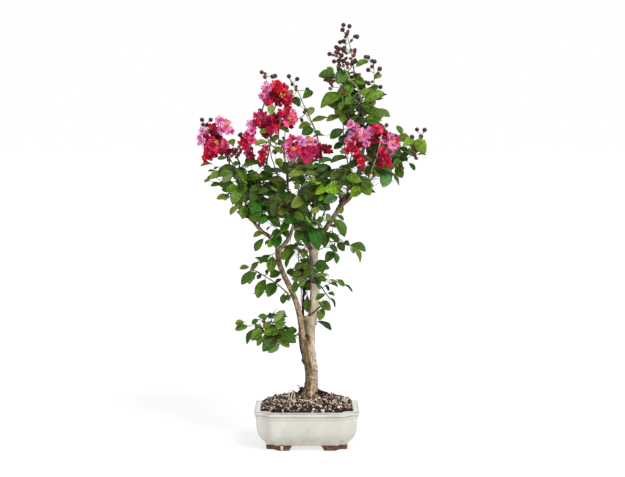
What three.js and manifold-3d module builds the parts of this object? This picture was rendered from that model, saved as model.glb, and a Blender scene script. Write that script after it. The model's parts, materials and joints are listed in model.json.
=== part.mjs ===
// Bonsai crape myrtle in a glazed pot.
// Millimetres, +Z up, +X to the right, -Y towards the viewer, Z = 0 on the table under the feet.
// The plant is built as a trunk, its limbs and the masses of foliage and blossom they carry.
import * as THREE from 'three';
import { mergeVertices } from 'three/addons/utils/BufferGeometryUtils.js';
import Module from 'manifold-3d';

const wasm = await Module();
wasm.setup();

// ---------------------------------------------------------------- driving dimensions
const GAP = 0.3;                 // clearance kept between touching pieces

const POT = {
  centre: [-11, 0],              // the trunk stands a little right of the pot's middle
  length: 200, depth: 135, height: 77,
  footHeight: 8.6,
  flatInset: 30,                 // where the long face turns into the corner notch
  notchInset: 18, notchDepth: 15, // the step taken out of each corner

  floor: 16,
  drainRadius: 6.5, drainOffset: 36,
};
// outer wall, bottom to top: [height, inset from the rim's outline]
const POT_OUTSIDE = [
  [8.6, 24.5], [9.6, 22.6], [15, 19.2], [21, 14.1], [27, 9.7], [34.5, 6.5], [43, 4.6],
  [52, 3.7], [64.4, 3.4], [65.2, 1.7], [69.0, 1.4], [69.8, 0.2], [76.0, 0], [77, 1.1],
];
// inner wall, top to bottom
const POT_INSIDE = [[77, 11.6], [76.2, 12.6], [66, 12.2], [42, 12.4], [27, 16.5], [19, 23], [16, 29]];

const SOIL = { patch: 101, patchRadius: 27 };  // flat patch of soil that the trunk stands on
// top of the soil: [height, inset from the rim's outline]
const SOIL_TOP = [[71.5, 13.1], [79, 14.6], [87.5, 20], [92.5, 29], [96.5, 42]];

const FOOT = { outerX: 78, innerX: 27, outerY: 46.5, innerY: 15, thick: 9.5 };

const TRUNK_BASE = 101;          // soil level
const FORK = 210;                // where the trunk divides

// Limbs: centre line [x, y, z] and radius at each station, root to tip.
const LIMBS = {
  trunk: {
    level: true, sides: 14, uneven: 0.05, flatten: 0.9, flare: 0.26,
    path: [[-8.7, 1, TRUNK_BASE], [-6.0, 1, 110], [-3.4, 0.5, 120], [-2.0, 0, 136], [-3.2, 0, 155], [-6.5, 0, 172], [-9.0, 0, 192], [-10.0, 0, FORK]],
    radius: [18.0, 15.0, 13.0, 12.6, 13.8, 14.4, 14.3, 15.0],
    colour: 0xb59a7c,
  },
  right_stem: {
    parent: ['trunk'], sides: 11, uneven: 0.05,
    path: [[-3.4, 3, FORK - 4], [-2.1, 4, 235], [0.2, 4, 254], [4.0, 4, 280], [4.6, 4, 310], [4.0, 4, 345], [2.6, 4, 372], [2.0, 4, 392]],
    radius: [10.0, 9.0, 9.3, 9.7, 9.0, 8.0, 9.2, 8.4],
    colour: 0xc4ad8e,
  },
  left_bough: {
    parent: ['trunk', 'right_stem'], sides: 10, uneven: 0.05,
    path: [[-19.2, -5, FORK - 4], [-21.7, -6, 236], [-28.0, -6, 268], [-38.0, -6, 297], [-54.6, -7, 333], [-64.5, -8, 360], [-66.0, -8, 384]],
    radius: [7.6, 6.2, 5.6, 5.3, 5.2, 5.4, 5.6],
    colour: 0xa88f74,
  },
  left_bough_outer_branch: {
    parent: ['left_bough'], endsIn: ['foliage_left_low'], sides: 8, uneven: 0.06,
    path: [[-66.0, -8, 380], [-68, -10, 391], [-79, -11, 406], [-97, -14, 418], [-114, -18, 440], [-122, -20, 452]],
    radius: [4.4, 4.2, 4.0, 3.6, 3.0, 2.7],
    colour: 0x8f7a66,
  },
  left_bough_inner_branch: {
    parent: ['left_bough', 'left_bough_outer_branch'], endsIn: ['foliage_centre'], sides: 8, uneven: 0.06,
    path: [[-64, -7, 380], [-55, -7, 391], [-46.8, -6, 401], [-39, -4, 420], [-35, -2, 440]],
    radius: [4.2, 4.3, 4.2, 3.2, 2.8],
    colour: 0xa88f74,
  },
  right_upper_limb: {
    parent: ['right_stem'], endsIn: ['foliage_right'], sides: 9, uneven: 0.06,
    path: [[4, 2, 386], [12, -1, 400], [26.8, -4, 425], [43, -5, 448], [54, -5, 466], [64, -5, 479], [73, -5, 486]],
    radius: [7.2, 6.2, 5.2, 5.3, 5.6, 8.2, 6.0],
    colour: 0x8a7460,
  },
  inner_left_limb: {
    parent: ['right_stem', 'right_upper_limb'], endsIn: ['foliage_centre'], sides: 8, uneven: 0.06,
    path: [[1, 6, 382], [-8.6, 7, 391], [-20, 7, 404], [-30, 8, 424]],
    radius: [6.0, 5.4, 4.2, 3.4],
    colour: 0x5d4a3c,
  },
  back_limb: {
    parent: ['right_stem', 'right_upper_limb', 'inner_left_limb'], endsIn: ['foliage_back'], sides: 8, uneven: 0.06,
    path: [[2, 8, 378], [3, 24, 396], [-2, 46, 418], [-8, 66, 440]],
    radius: [5.4, 4.6, 3.9, 3.2],
    colour: 0x7a6653,
  },
  front_limb: {
    parent: ['right_stem', 'right_upper_limb', 'inner_left_limb', 'back_limb'], endsIn: ['foliage_front'], sides: 8, uneven: 0.06,
    path: [[1, 2, 384], [-3, -16, 401], [-8, -36, 418], [-14, -56, 436]],
    radius: [4.8, 4.0, 3.4, 2.9],
    colour: 0x7a6653,
  },
  shoot_low_left: {
    parent: ['trunk', 'left_bough'], endsIn: ['foliage_low_left'], sides: 6, uneven: 0.04,
    path: [[-14, 0, 206], [-26, -6, 214], [-42, -16, 226]],
    radius: [2.4, 2.0, 1.6],
    colour: 0x5d4a3c,
  },
  shoot_mid_left: {
    parent: ['left_bough'], endsIn: ['foliage_mid_left'], sides: 6, uneven: 0.04,
    path: [[-38, -6, 296], [-52, -14, 306], [-72, -22, 318]],
    radius: [2.2, 1.8, 1.5],
    colour: 0x5d4a3c,
  },
  shoot_low_right: {
    parent: ['right_stem'], endsIn: ['foliage_low_right', 'foliage_low_right_tip'], sides: 6, uneven: 0.04,
    path: [[4, 3, 292], [14, -3, 298], [32, -10, 312]],
    radius: [2.4, 2.0, 1.6],
    colour: 0x4a3a30,
  },
  shoot_left: {
    parent: [], endsIn: ['foliage_left', 'blossom_left_upper', 'blossom_left_lower'], sides: 6, uneven: 0.04,
    path: [[-78, -8, 530], [-76, -8, 565], [-74, -8, 616]],
    radius: [1.9, 1.7, 1.5],
    colour: 0x8f8a70,
  },
  shoot_left_top: {
    parent: [], endsIn: ['blossom_left_upper', 'blossom_left_top'], sides: 6, uneven: 0.04,
    path: [[-68, -8, 630], [-66, -8, 655], [-66, -7, 680]],
    radius: [1.5, 1.4, 1.3],
    colour: 0x8f8a70,
  },
  shoot_centre: {
    parent: [], endsIn: ['foliage_centre', 'blossom_centre'], sides: 6, uneven: 0.04,
    path: [[-16, 0, 524], [-14, -12, 548], [-10, -30, 574]],
    radius: [1.8, 1.6, 1.5],
    colour: 0x8f8a70,
  },
  shoot_middle_foot: {
    parent: [], endsIn: ['foliage_centre', 'shoot_middle'], sides: 6, uneven: 0.04,
    path: [[16, 8, 516], [14, 10, 560], [6, 10, 606]],
    radius: [1.9, 1.7, 1.5],
    colour: 0x8f8a70,
  },
  dark_inner_stem: {
    parent: ['trunk', 'right_stem', 'left_bough'], endsIn: ['foliage_inner_back'], sides: 7, uneven: 0.05,
    path: [[-14.4, 5, FORK - 3], [-17.5, 9, 234], [-18.6, 10, 262], [-17.4, 11, 302], [-18.2, 12, 336]],
    radius: [2.6, 2.3, 2.3, 2.2, 2.1],
    colour: 0x2e2622,
  },
};

// Masses: the axis runs from `from` to `to`; `high` is the size across it in the upright
// direction (or along X where the axis is upright), `deep` the size across it the other way.
const LEAF = 0x2f5a22, LEAF_LIGHT = 0x4d7a2a, RED = 0xb81632, PINK = 0xe0609c, BUD = 0x4a2420;
const MASSES = {
  foliage_low_left: { from: [-27, -14, 228], to: [-153, -30, 228], high: 86, deep: 88, seed: 1, colour: LEAF },
  foliage_mid_left: { from: [-48, -18, 314], to: [-145, -24, 336], high: 88, deep: 80, seed: 2, colour: LEAF },
  foliage_inner_front: { from: [-12, -36, 362], to: [8, -40, 268], high: 56, deep: 44, seed: 3, colour: LEAF_LIGHT },
  foliage_inner_back: { from: [-28, 42, 374], to: [-22, 38, 258], high: 58, deep: 54, seed: 4, colour: LEAF },
  foliage_low_right_tip: { from: [15, -12, 340], to: [78, -14, 300], high: 62, deep: 58, seed: 5, colour: LEAF },
  foliage_low_right: { from: [22, -8, 306], to: [40, -16, 224], high: 50, deep: 50, seed: 29, colour: LEAF },
  foliage_mid_right: { from: [10, -38, 414], to: [105, -28, 378], high: 70, deep: 66, seed: 6, colour: LEAF },
  foliage_left: { from: [-64, -16, 506], to: [-220, -12, 522], high: 76, deep: 122, seed: 7, colour: LEAF },
  foliage_left_low: { from: [-72, -28, 448], to: [-187, -26, 450], high: 70, deep: 110, seed: 8, colour: LEAF },
  foliage_centre: { from: [-76, 4, 484], to: [46, 6, 494], high: 124, deep: 74, seed: 10, colour: LEAF },
  foliage_front: { from: [-112, -88, 480], to: [34, -98, 462], high: 128, deep: 104, seed: 9, colour: LEAF },
  foliage_back: { from: [-104, 92, 486], to: [44, 98, 484], high: 132, deep: 106, seed: 11, colour: LEAF },
  foliage_right: { from: [32, -8, 516], to: [128, -10, 534], high: 92, deep: 112, seed: 12, colour: LEAF },
  foliage_right_front: { from: [36, -112, 516], to: [126, -98, 536], high: 78, deep: 86, seed: 26, colour: LEAF },
  foliage_right_back: { from: [46, 100, 512], to: [150, 92, 536], high: 92, deep: 100, seed: 24, colour: LEAF },
  foliage_left_back: { from: [-70, 128, 478], to: [-166, 96, 508], high: 98, deep: 98, seed: 23, colour: LEAF },
  foliage_low_back: { from: [-14, 34, 334], to: [-34, 132, 362], high: 70, deep: 78, seed: 25, colour: LEAF },
  foliage_right_end: { from: [128, -2, 530], to: [219, 2, 596], high: 92, deep: 92, seed: 13, colour: LEAF_LIGHT },
  foliage_spire: { from: [90, 8, 580], to: [74, 8, 736], high: 142, deep: 108, seed: 14, colour: LEAF_LIGHT },
  buds_spire: { from: [72, 8, 720], to: [60, 8, 811], high: 78, deep: 66, seed: 15, colour: BUD },
  buds_spire_right: { from: [116, 10, 690], to: [122, 10, 752], high: 38, deep: 34, seed: 30, colour: BUD },
  shoot_middle: { from: [12, 10, 592], to: [-43, 10, 716], high: 50, deep: 42, seed: 16, colour: LEAF_LIGHT },
  blossom_far_left: { from: [-160, -12, 546], to: [-200, -12, 638], high: 78, deep: 66, seed: 17, colour: RED },
  blossom_left_top: { from: [-48, -6, 656], to: [-92, -6, 724], high: 66, deep: 56, seed: 18, colour: RED },
  blossom_left_upper: { from: [-114, -8, 612], to: [-18, -8, 642], high: 70, deep: 66, seed: 19, colour: PINK },
  blossom_left_lower: { from: [-146, -12, 606], to: [-78, -10, 556], high: 62, deep: 60, seed: 20, colour: RED },
  blossom_centre: { from: [-56, -36, 576], to: [40, -32, 574], high: 60, deep: 66, seed: 21, colour: PINK },
  blossom_right: { from: [60, -60, 594], to: [168, -50, 578], high: 94, deep: 72, seed: 22, colour: PINK },
  blossom_back_left: { from: [-56, 112, 548], to: [-92, 128, 630], high: 64, deep: 60, seed: 27, colour: RED },
  blossom_back_right: { from: [64, 112, 560], to: [84, 106, 640], high: 66, deep: 62, seed: 28, colour: PINK },
};

// ---------------------------------------------------------------- small helpers
const sub = (a, b) => a.clone().sub(b);

// smooth, repeatable unevenness between -1 and 1
function wave(a, t, seed) {
  const s = seed * 1.713;
  return 0.5 * Math.sin(2 * a + 3.1 * t + s) + 0.3 * Math.sin(3 * a - 5.3 * t + 2.1 * s)
    + 0.2 * Math.sin(5 * a + 8.7 * t + 3.3 * s);
}

// closed solid through rings of equal point count; each end is closed by a fan
function loft(rings) {
  const n = rings[0].length, pos = [], idx = [];
  for (const ring of rings) for (const p of ring) pos.push(p.x, p.y, p.z);
  for (let r = 0; r < rings.length - 1; r++) {
    for (let k = 0; k < n; k++) {
      const a = r * n + k, b = r * n + (k + 1) % n, c = a + n, d = b + n;
      idx.push(a, b, d, a, d, c);
    }
  }
  for (const [ring, base, flip] of [[rings[0], 0, true], [rings.at(-1), (rings.length - 1) * n, false]]) {
    const mid = ring.reduce((s, p) => s.add(p), new THREE.Vector3()).divideScalar(n);
    const m = pos.length / 3;
    pos.push(mid.x, mid.y, mid.z);
    for (let k = 0; k < n; k++) {
      const a = base + k, b = base + (k + 1) % n;
      if (flip) idx.push(m, b, a); else idx.push(m, a, b);
    }
  }
  // faces point out: the enclosed volume is positive
  let volume = 0;
  const v = (i) => new THREE.Vector3(pos[3 * i], pos[3 * i + 1], pos[3 * i + 2]);
  for (let i = 0; i < idx.length; i += 3) volume += v(idx[i]).dot(v(idx[i + 1]).cross(v(idx[i + 2])));
  if (volume < 0) for (let i = 0; i < idx.length; i += 3) [idx[i + 1], idx[i + 2]] = [idx[i + 2], idx[i + 1]];
  const g = new THREE.BufferGeometry();
  g.setAttribute('position', new THREE.Float32BufferAttribute(pos, 3));
  g.setIndex(idx);
  return g;
}

function toSolid(geometry) {
  let g = geometry.clone();
  g.deleteAttribute('normal');
  g.deleteAttribute('uv');
  g = mergeVertices(g, 1e-4);
  return new wasm.Manifold(new wasm.Mesh({
    numProp: 3,
    vertProperties: new Float32Array(g.attributes.position.array),
    triVerts: new Uint32Array(g.index.array),
  }));
}

function toGeometry(solid) {
  const m = solid.getMesh();
  const g = new THREE.BufferGeometry();
  g.setAttribute('position', new THREE.Float32BufferAttribute(m.vertProperties, 3));
  g.setIndex(Array.from(m.triVerts));
  return g;
}

// a cut can leave crumbs: the piece kept is the biggest
const biggest = (solid) => solid.decompose().reduce((a, b) => (b.volume() > a.volume() ? b : a));

// ---------------------------------------------------------------- pot, feet and soil
// outline of the pot at a given inset: a rectangle with a step taken out of each corner
function potOutline(inset, z) {
  const hx = POT.length / 2 - inset, hy = POT.depth / 2 - inset;
  const k = Math.max(0.35, 1 - inset / 60);
  const fx = POT.flatInset * k, nx = POT.notchInset * k, ny = POT.notchDepth * k, c = 2.4 * k;
  const quarter = [
    [hx - fx - 1.6 * c, -hy], [hx - fx + 0.5 * c, -hy + 0.7 * c],
    [hx - nx - 0.6 * c, -hy + ny - 1.0 * c], [hx - nx + 1.2 * c, -hy + ny],
    [hx - c, -hy + ny + 0.1 * c], [hx, -hy + ny + 1.1 * c],
  ];
  const points = [];
  points.push([0, -hy], ...quarter, [hx, 0]);
  for (const [x, y] of [...quarter].reverse()) points.push([x, -y]);
  points.push([0, hy]);
  for (const [x, y] of quarter) points.push([-x, -y]);
  points.push([-hx, 0]);
  for (const [x, y] of [...quarter].reverse()) points.push([-x, y]);
  return points.map(([x, y]) => new THREE.Vector3(x + POT.centre[0], y + POT.centre[1], z));
}

function makePot() {
  const rings = [...POT_OUTSIDE, ...POT_INSIDE].map(([z, inset]) => potOutline(inset, z));
  let solid = toSolid(loft(rings));
  for (const side of [-1, 1]) {
    const hole = new THREE.CylinderGeometry(POT.drainRadius, POT.drainRadius, 20, 18);
    hole.rotateX(Math.PI / 2);
    hole.translate(POT.centre[0] + side * POT.drainOffset, POT.centre[1], 12);
    solid = solid.subtract(toSolid(hole));
  }
  return toGeometry(solid);
}

function makeFoot(sx, sy) {
  const f = FOOT, t = f.thick;
  const outline = [
    [f.outerX, f.innerY], [f.outerX, f.outerY - 13], [f.outerX - 14, f.outerY - 12], [f.outerX - 23, f.outerY],
    [f.innerX, f.outerY], [f.innerX + 4, f.outerY - t], [f.outerX - 26, f.outerY - t],
    [f.outerX - t - 6, f.outerY - t - 9], [f.outerX - t, f.outerY - t - 12], [f.outerX - t, f.innerY + 3],
  ].map(([x, y]) => new THREE.Vector2(POT.centre[0] + sx * x, POT.centre[1] + sy * y));
  if (sx * sy < 0) outline.reverse();
  return new THREE.ExtrudeGeometry(new THREE.Shape(outline), { depth: POT.footHeight - GAP, bevelEnabled: false });
}

function makeSoil() {
  const rings = [potOutline(29.6, POT.floor + GAP + 0.1)];
  for (const [z, inset] of [...POT_INSIDE].reverse()) {
    if (z > POT.floor + 1 && z < 70) rings.push(potOutline(inset + 0.5, z + 0.4));
  }
  for (const [z, inset] of SOIL_TOP) {
    rings.push(potOutline(inset, z).map((p, i) => {
      p.z += z > 80 ? 1.1 * wave(i * 0.7, z * 0.05, 5) : 0;
      return p;
    }));
  }
  const last = rings.at(-1), cx = LIMBS.trunk.path[0][0], cy = LIMBS.trunk.path[0][1];
  const patch = last.map((p) => {
    const a = Math.atan2(p.y - cy, p.x - cx);
    return new THREE.Vector3(cx + SOIL.patchRadius * Math.cos(a), cy + SOIL.patchRadius * 0.8 * Math.sin(a), SOIL.patch - GAP);
  });
  rings.push(patch);
  return loft(rings);
}

// ---------------------------------------------------------------- limbs
function limbGeometry(spec, grow = 0) {
  const path = spec.path.map((p) => new THREE.Vector3(...p));
  const curve = new THREE.CatmullRomCurve3(path, false, 'centripetal');
  const stations = spec.path.length - 1;
  const steps = stations * 2;
  const rings = [];
  let side = new THREE.Vector3(1, 0, 0);
  for (let i = 0; i <= steps; i++) {
    const t = i / steps;
    const centre = curve.getPoint(t);
    const along = spec.level ? new THREE.Vector3(0, 0, 1) : curve.getTangent(t);
    side = side.clone().addScaledVector(along, -side.dot(along)).normalize();
    const up = new THREE.Vector3().crossVectors(along, side);
    const u = t * stations, k = Math.min(stations - 1, Math.floor(u));
    const radius = spec.radius[k] + (spec.radius[k + 1] - spec.radius[k]) * (u - k);
    if (grow && (i === 0 || i === steps)) centre.addScaledVector(along, i ? grow : -grow);
    const ring = [];
    for (let s = 0; s < spec.sides; s++) {
      const a = (2 * Math.PI * s) / spec.sides;
      const flare = spec.flare ? spec.flare * Math.max(0, 1 - t * 6) * (0.5 + 0.5 * Math.cos(3 * a + 0.8)) : 0;
      const r = radius * (1 + spec.uneven * wave(a, t * 2, spec.sides) + flare) + grow;
      ring.push(centre.clone()
        .addScaledVector(side, r * Math.cos(a))
        .addScaledVector(up, r * Math.sin(a) * (spec.flatten ?? 1)));
    }
    rings.push(ring);
  }
  return loft(rings);
}

// ---------------------------------------------------------------- masses
// an uneven, closed, lobed body about its axis
function massGeometry(spec, grow = 0) {
  const RINGS = 7, SIDES = 10;
  const from = new THREE.Vector3(...spec.from), to = new THREE.Vector3(...spec.to);
  const along = sub(to, from).normalize();
  from.addScaledVector(along, -grow);
  to.addScaledVector(along, grow);
  const upright = Math.abs(along.z) > 0.75;
  const side = new THREE.Vector3().crossVectors(along, upright ? new THREE.Vector3(0, 1, 0) : new THREE.Vector3(0, 0, 1)).normalize();
  const up = new THREE.Vector3().crossVectors(side, along).normalize();
  // `up` lies in the XZ plane for flat masses; for upright ones `side` lies along X
  const [a1, a2] = upright ? [side, up] : [up, side];
  const rings = [];
  for (let i = 1; i <= RINGS; i++) {
    const t = i / (RINGS + 1);
    const centre = from.clone().lerp(to, t);
    const full = Math.pow(Math.sin(Math.PI * t), 0.62);
    centre.addScaledVector(a1, 0.07 * spec.high * Math.sin(6 * t + spec.seed));
    centre.addScaledVector(a2, 0.07 * spec.deep * Math.sin(5 * t + 2 * spec.seed));
    const ring = [];
    for (let s = 0; s < SIDES; s++) {
      const a = (2 * Math.PI * s) / SIDES;
      const k = full * (0.9 + 0.24 * wave(a, 2 * t, spec.seed));
      ring.push(centre.clone()
        .addScaledVector(a1, (0.5 * spec.high * k + grow) * Math.cos(a))
        .addScaledVector(a2, (0.5 * spec.deep * k + grow) * Math.sin(a)));
    }
    rings.push(ring);
  }
  // the two ends close on a point
  const g = loft(rings);
  const n = RINGS * SIDES, p = g.attributes.position;
  p.setXYZ(n, from.x, from.y, from.z);
  p.setXYZ(n + 1, to.x, to.y, to.z);
  return g;
}

// ---------------------------------------------------------------- assembly
const plant = new THREE.Group();
const material = (name, colour, roughness) => new THREE.MeshStandardMaterial({ name, color: colour, roughness, metalness: 0 });

function add(name, geometry, mat) {
  const mesh = new THREE.Mesh(geometry, mat);
  mesh.name = name;
  plant.add(mesh);
  return mesh;
}

const glaze = material('glaze', 0xdcd9cc, 0.25);
const clay = material('clay', 0x6b3a30, 0.85);
const mix = material('bark_mix', 0x4a3527, 0.95);

add('pot', makePot(), glaze);
for (const [name, sx, sy] of [['foot_front_left', -1, -1], ['foot_front_right', 1, -1], ['foot_back_left', -1, 1], ['foot_back_right', 1, 1]]) {
  add(name, makeFoot(sx, sy), clay);
}
add('soil', makeSoil(), mix);

const limbSolid = {}, limbGrown = {}, massGrown = {};
for (const [name, spec] of Object.entries(LIMBS)) limbGrown[name] = toSolid(limbGeometry(spec, GAP));
for (const [name, spec] of Object.entries(MASSES)) massGrown[name] = toSolid(massGeometry(spec, GAP));

for (const [name, spec] of Object.entries(LIMBS)) {
  let solid = toSolid(limbGeometry(spec));
  for (const p of spec.parent ?? []) solid = solid.subtract(limbGrown[p]);
  for (const m of spec.endsIn ?? []) solid = solid.subtract(massGrown[m]);
  limbSolid[name] = biggest(solid);
  add(name, toGeometry(limbSolid[name]), material('bark_' + name, spec.colour, 0.8));
}

const placed = [];
for (const [name, spec] of Object.entries(MASSES)) {
  let solid = toSolid(massGeometry(spec));
  for (const [limb, limbSpec] of Object.entries(LIMBS)) {
    if (!(limbSpec.endsIn ?? []).includes(name)) solid = solid.subtract(limbGrown[limb]);
  }
  for (const other of placed) solid = solid.subtract(massGrown[other]);
  placed.push(name);
  add(name, toGeometry(biggest(solid)), material('mass_' + name, spec.colour, 0.9));
}

// the origin is under the middle of the whole plant's box, on the table
const box = new THREE.Box3().setFromObject(plant);
const middle = box.getCenter(new THREE.Vector3());
plant.position.set(-middle.x, -middle.y, -box.min.z);

export default plant;
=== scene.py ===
"""Bonsai crape myrtle in a glazed pot: the looks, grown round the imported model.

All working numbers are millimetres in the plant's own frame: x = 0 and z = 0 as in the measured view, viewer at -y.
put() turns them into metres in the row frame.
"""

import json
import math

import bpy
import numpy as np
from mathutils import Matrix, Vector
from mathutils.bvhtree import BVHTree
from mathutils.kdtree import KDTree

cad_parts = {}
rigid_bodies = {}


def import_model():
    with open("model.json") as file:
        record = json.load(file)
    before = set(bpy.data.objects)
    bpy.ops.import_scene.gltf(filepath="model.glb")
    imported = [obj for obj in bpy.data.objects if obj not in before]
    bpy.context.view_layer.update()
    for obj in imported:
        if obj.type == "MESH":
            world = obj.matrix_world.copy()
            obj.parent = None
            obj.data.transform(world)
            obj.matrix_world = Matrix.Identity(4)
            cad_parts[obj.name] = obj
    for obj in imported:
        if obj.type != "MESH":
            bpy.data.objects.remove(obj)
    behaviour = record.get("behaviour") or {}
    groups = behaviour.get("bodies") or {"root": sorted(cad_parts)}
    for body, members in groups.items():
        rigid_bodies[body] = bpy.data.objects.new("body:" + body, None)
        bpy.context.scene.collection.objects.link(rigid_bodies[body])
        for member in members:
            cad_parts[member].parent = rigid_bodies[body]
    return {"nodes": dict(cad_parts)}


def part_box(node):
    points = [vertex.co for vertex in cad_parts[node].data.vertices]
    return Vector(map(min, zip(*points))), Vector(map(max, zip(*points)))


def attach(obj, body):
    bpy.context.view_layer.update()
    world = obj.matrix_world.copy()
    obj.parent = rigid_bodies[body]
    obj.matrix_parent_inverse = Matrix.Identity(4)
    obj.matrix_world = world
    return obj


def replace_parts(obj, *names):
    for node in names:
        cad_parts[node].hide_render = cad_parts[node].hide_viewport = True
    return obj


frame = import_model()
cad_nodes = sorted(frame["nodes"])
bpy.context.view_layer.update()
scene = bpy.context.scene
scene.view_settings.view_transform = "Standard"
scene.view_settings.look = "None"
rng = np.random.RandomState(20417)

# ------------------------------------------------------------------ frame and view
_lo, _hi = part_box("pot")
OFF = np.array([(_lo.x + _hi.x) * 500.0 + 11.0, (_lo.y + _hi.y) * 500.0, 0.0])  # mm, plant frame -> row frame

EYE = np.array([0.0, -2400.0, 622.0])
PITCH = 0.0911
FOCAL = 1258.0  # in pixels of a 625 x 477 picture
MID = (312.5, 238.5)
FWD = np.array([0.0, math.cos(PITCH), -math.sin(PITCH)])
UPV = np.array([0.0, math.sin(PITCH), math.cos(PITCH)])


def put(p):
    return (np.asarray(p, float) + OFF) * 0.001


def project(p):
    p = np.asarray(p, float)
    d = p - EYE
    depth = d @ FWD
    return np.stack([MID[0] + FOCAL * d[..., 0] / depth, MID[1] - FOCAL * (d @ UPV) / depth], -1)


def at(px, py, y):
    """The point at depth y (mm) that is seen at picture point px, py."""
    c, s = math.cos(PITCH), math.sin(PITCH)
    k = (MID[1] - py) / FOCAL
    dy = y - EYE[1]
    dz = dy * (k * c - s) / (c + k * s)
    return np.array([(px - MID[0]) / FOCAL * (dy * c - dz * s), y, EYE[2] + dz])


# ------------------------------------------------------------------ small maths
def unit(v):
    v = np.asarray(v, float)
    return v / np.maximum(np.linalg.norm(v, axis=-1, keepdims=True), 1e-12)


def lin(h):
    """#rrggbb to linear rgb."""
    c = np.array([int(h[i : i + 2], 16) for i in (1, 3, 5)]) / 255.0
    return tuple(np.where(c <= 0.04045, c / 12.92, ((c + 0.055) / 1.055) ** 2.4))


def _hash(ix, iy, iz, seed):
    n = (ix * 374761393 + iy * 668265263 + iz * 1440662683 + seed * 974634777) & 0xFFFFFFFF
    n = ((n ^ (n >> 13)) * 1274126177) & 0xFFFFFFFF
    n = ((n ^ (n >> 15)) * 2246822519) & 0xFFFFFFFF
    return ((n ^ (n >> 16)) & 0xFFFFFF) / float(0xFFFFFF)


def vnoise(p, seed=0):
    """Smooth value noise, -1 to 1, at points p (n, 3)."""
    p = np.asarray(p, float)
    i = np.floor(p).astype(np.int64)
    f = p - i
    f = f * f * f * (f * (f * 6 - 15) + 10)
    out = 0.0
    for dx in (0, 1):
        wx = f[:, 0] if dx else 1 - f[:, 0]
        for dy in (0, 1):
            wy = f[:, 1] if dy else 1 - f[:, 1]
            for dz in (0, 1):
                wz = f[:, 2] if dz else 1 - f[:, 2]
                out = out + wx * wy * wz * _hash(i[:, 0] + dx, i[:, 1] + dy, i[:, 2] + dz, seed)
    return out * 2 - 1


def fbm(p, scale, seed=0, octaves=4, gain=0.5):
    """Layered noise; scale is the size of the largest lumps in mm (a number or three)."""
    p = np.asarray(p, float) / np.asarray(scale, float)
    total, amp, norm = 0.0, 1.0, 0.0
    for k in range(octaves):
        total = total + amp * vnoise(p * 2**k + 17.3 * k, seed + k)
        norm += amp
        amp *= gain
    return total / norm


def spline(points, step):
    """Even points about step apart on a smooth curve through the given points, whose columns after the third (radius) run along."""
    pts = np.asarray(points, float)
    if len(pts) == 2:
        n = max(2, int(math.ceil(np.linalg.norm(pts[1, :3] - pts[0, :3]) / step)) + 1)
        return pts[0] + (pts[1] - pts[0]) * np.linspace(0, 1, n)[:, None]
    ext = np.vstack([2 * pts[0] - pts[1], pts, 2 * pts[-1] - pts[-2]])
    knots = np.concatenate([[0], np.cumsum(np.maximum(np.linalg.norm(np.diff(ext[:, :3], axis=0), axis=1), 1e-6) ** 0.5)])
    dense = []
    for i in range(1, len(ext) - 2):
        t0, t1, t2, t3 = knots[i - 1 : i + 3]
        m = max(2, int(np.linalg.norm(ext[i + 1, :3] - ext[i, :3]) / (step * 0.4)) + 2)
        t = np.linspace(t1, t2, m, endpoint=False)[:, None]
        p0, p1, p2, p3 = ext[i - 1 : i + 3]
        a1 = (t1 - t) / (t1 - t0) * p0 + (t - t0) / (t1 - t0) * p1
        a2 = (t2 - t) / (t2 - t1) * p1 + (t - t1) / (t2 - t1) * p2
        a3 = (t3 - t) / (t3 - t2) * p2 + (t - t2) / (t3 - t2) * p3
        b1 = (t2 - t) / (t2 - t0) * a1 + (t - t0) / (t2 - t0) * a2
        b2 = (t3 - t) / (t3 - t1) * a2 + (t - t1) / (t3 - t1) * a3
        dense.append((t2 - t) / (t2 - t1) * b1 + (t - t1) / (t2 - t1) * b2)
    dense = np.vstack(dense + [pts[-1:]])
    s = np.concatenate([[0], np.cumsum(np.linalg.norm(np.diff(dense[:, :3], axis=0), axis=1))])
    n = max(2, int(round(s[-1] / step)) + 1)
    want = np.linspace(0, s[-1], n)
    return np.stack([np.interp(want, s, dense[:, k]) for k in range(dense.shape[1])], 1)


# ------------------------------------------------------------------ mesh making
class Mesh:
    """Collects vertices and faces of one piece, in mm."""

    def __init__(self):
        self.v, self.q, self.t, self.qm, self.tm, self.n = [], [], [], [], [], 0

    def add(self, verts, quads=None, tris=None, qm=0, tm=0):
        verts = np.asarray(verts, float).reshape(-1, 3)
        if quads is not None and len(quads):
            quads = np.asarray(quads, np.int64)
            self.q.append(quads + self.n)
            self.qm.append(np.broadcast_to(np.asarray(qm, np.int64), (len(quads),)))
        if tris is not None and len(tris):
            tris = np.asarray(tris, np.int64)
            self.t.append(tris + self.n)
            self.tm.append(np.broadcast_to(np.asarray(tm, np.int64), (len(tris),)))
        self.v.append(verts)
        self.n += len(verts)

    def arrays(self):
        v = np.vstack(self.v) if self.v else np.zeros((0, 3))
        q = np.vstack(self.q) if self.q else np.zeros((0, 4), np.int64)
        t = np.vstack(self.t) if self.t else np.zeros((0, 3), np.int64)
        m = np.concatenate([*(self.qm or [np.zeros(0, np.int64)]), *(self.tm or [np.zeros(0, np.int64)])])
        return v, q, t, m

    def build(self, name, materials, smooth=True):
        v, q, t, m = self.arrays()
        return make_object(name, put(v), q, t, m, materials, smooth)


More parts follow.
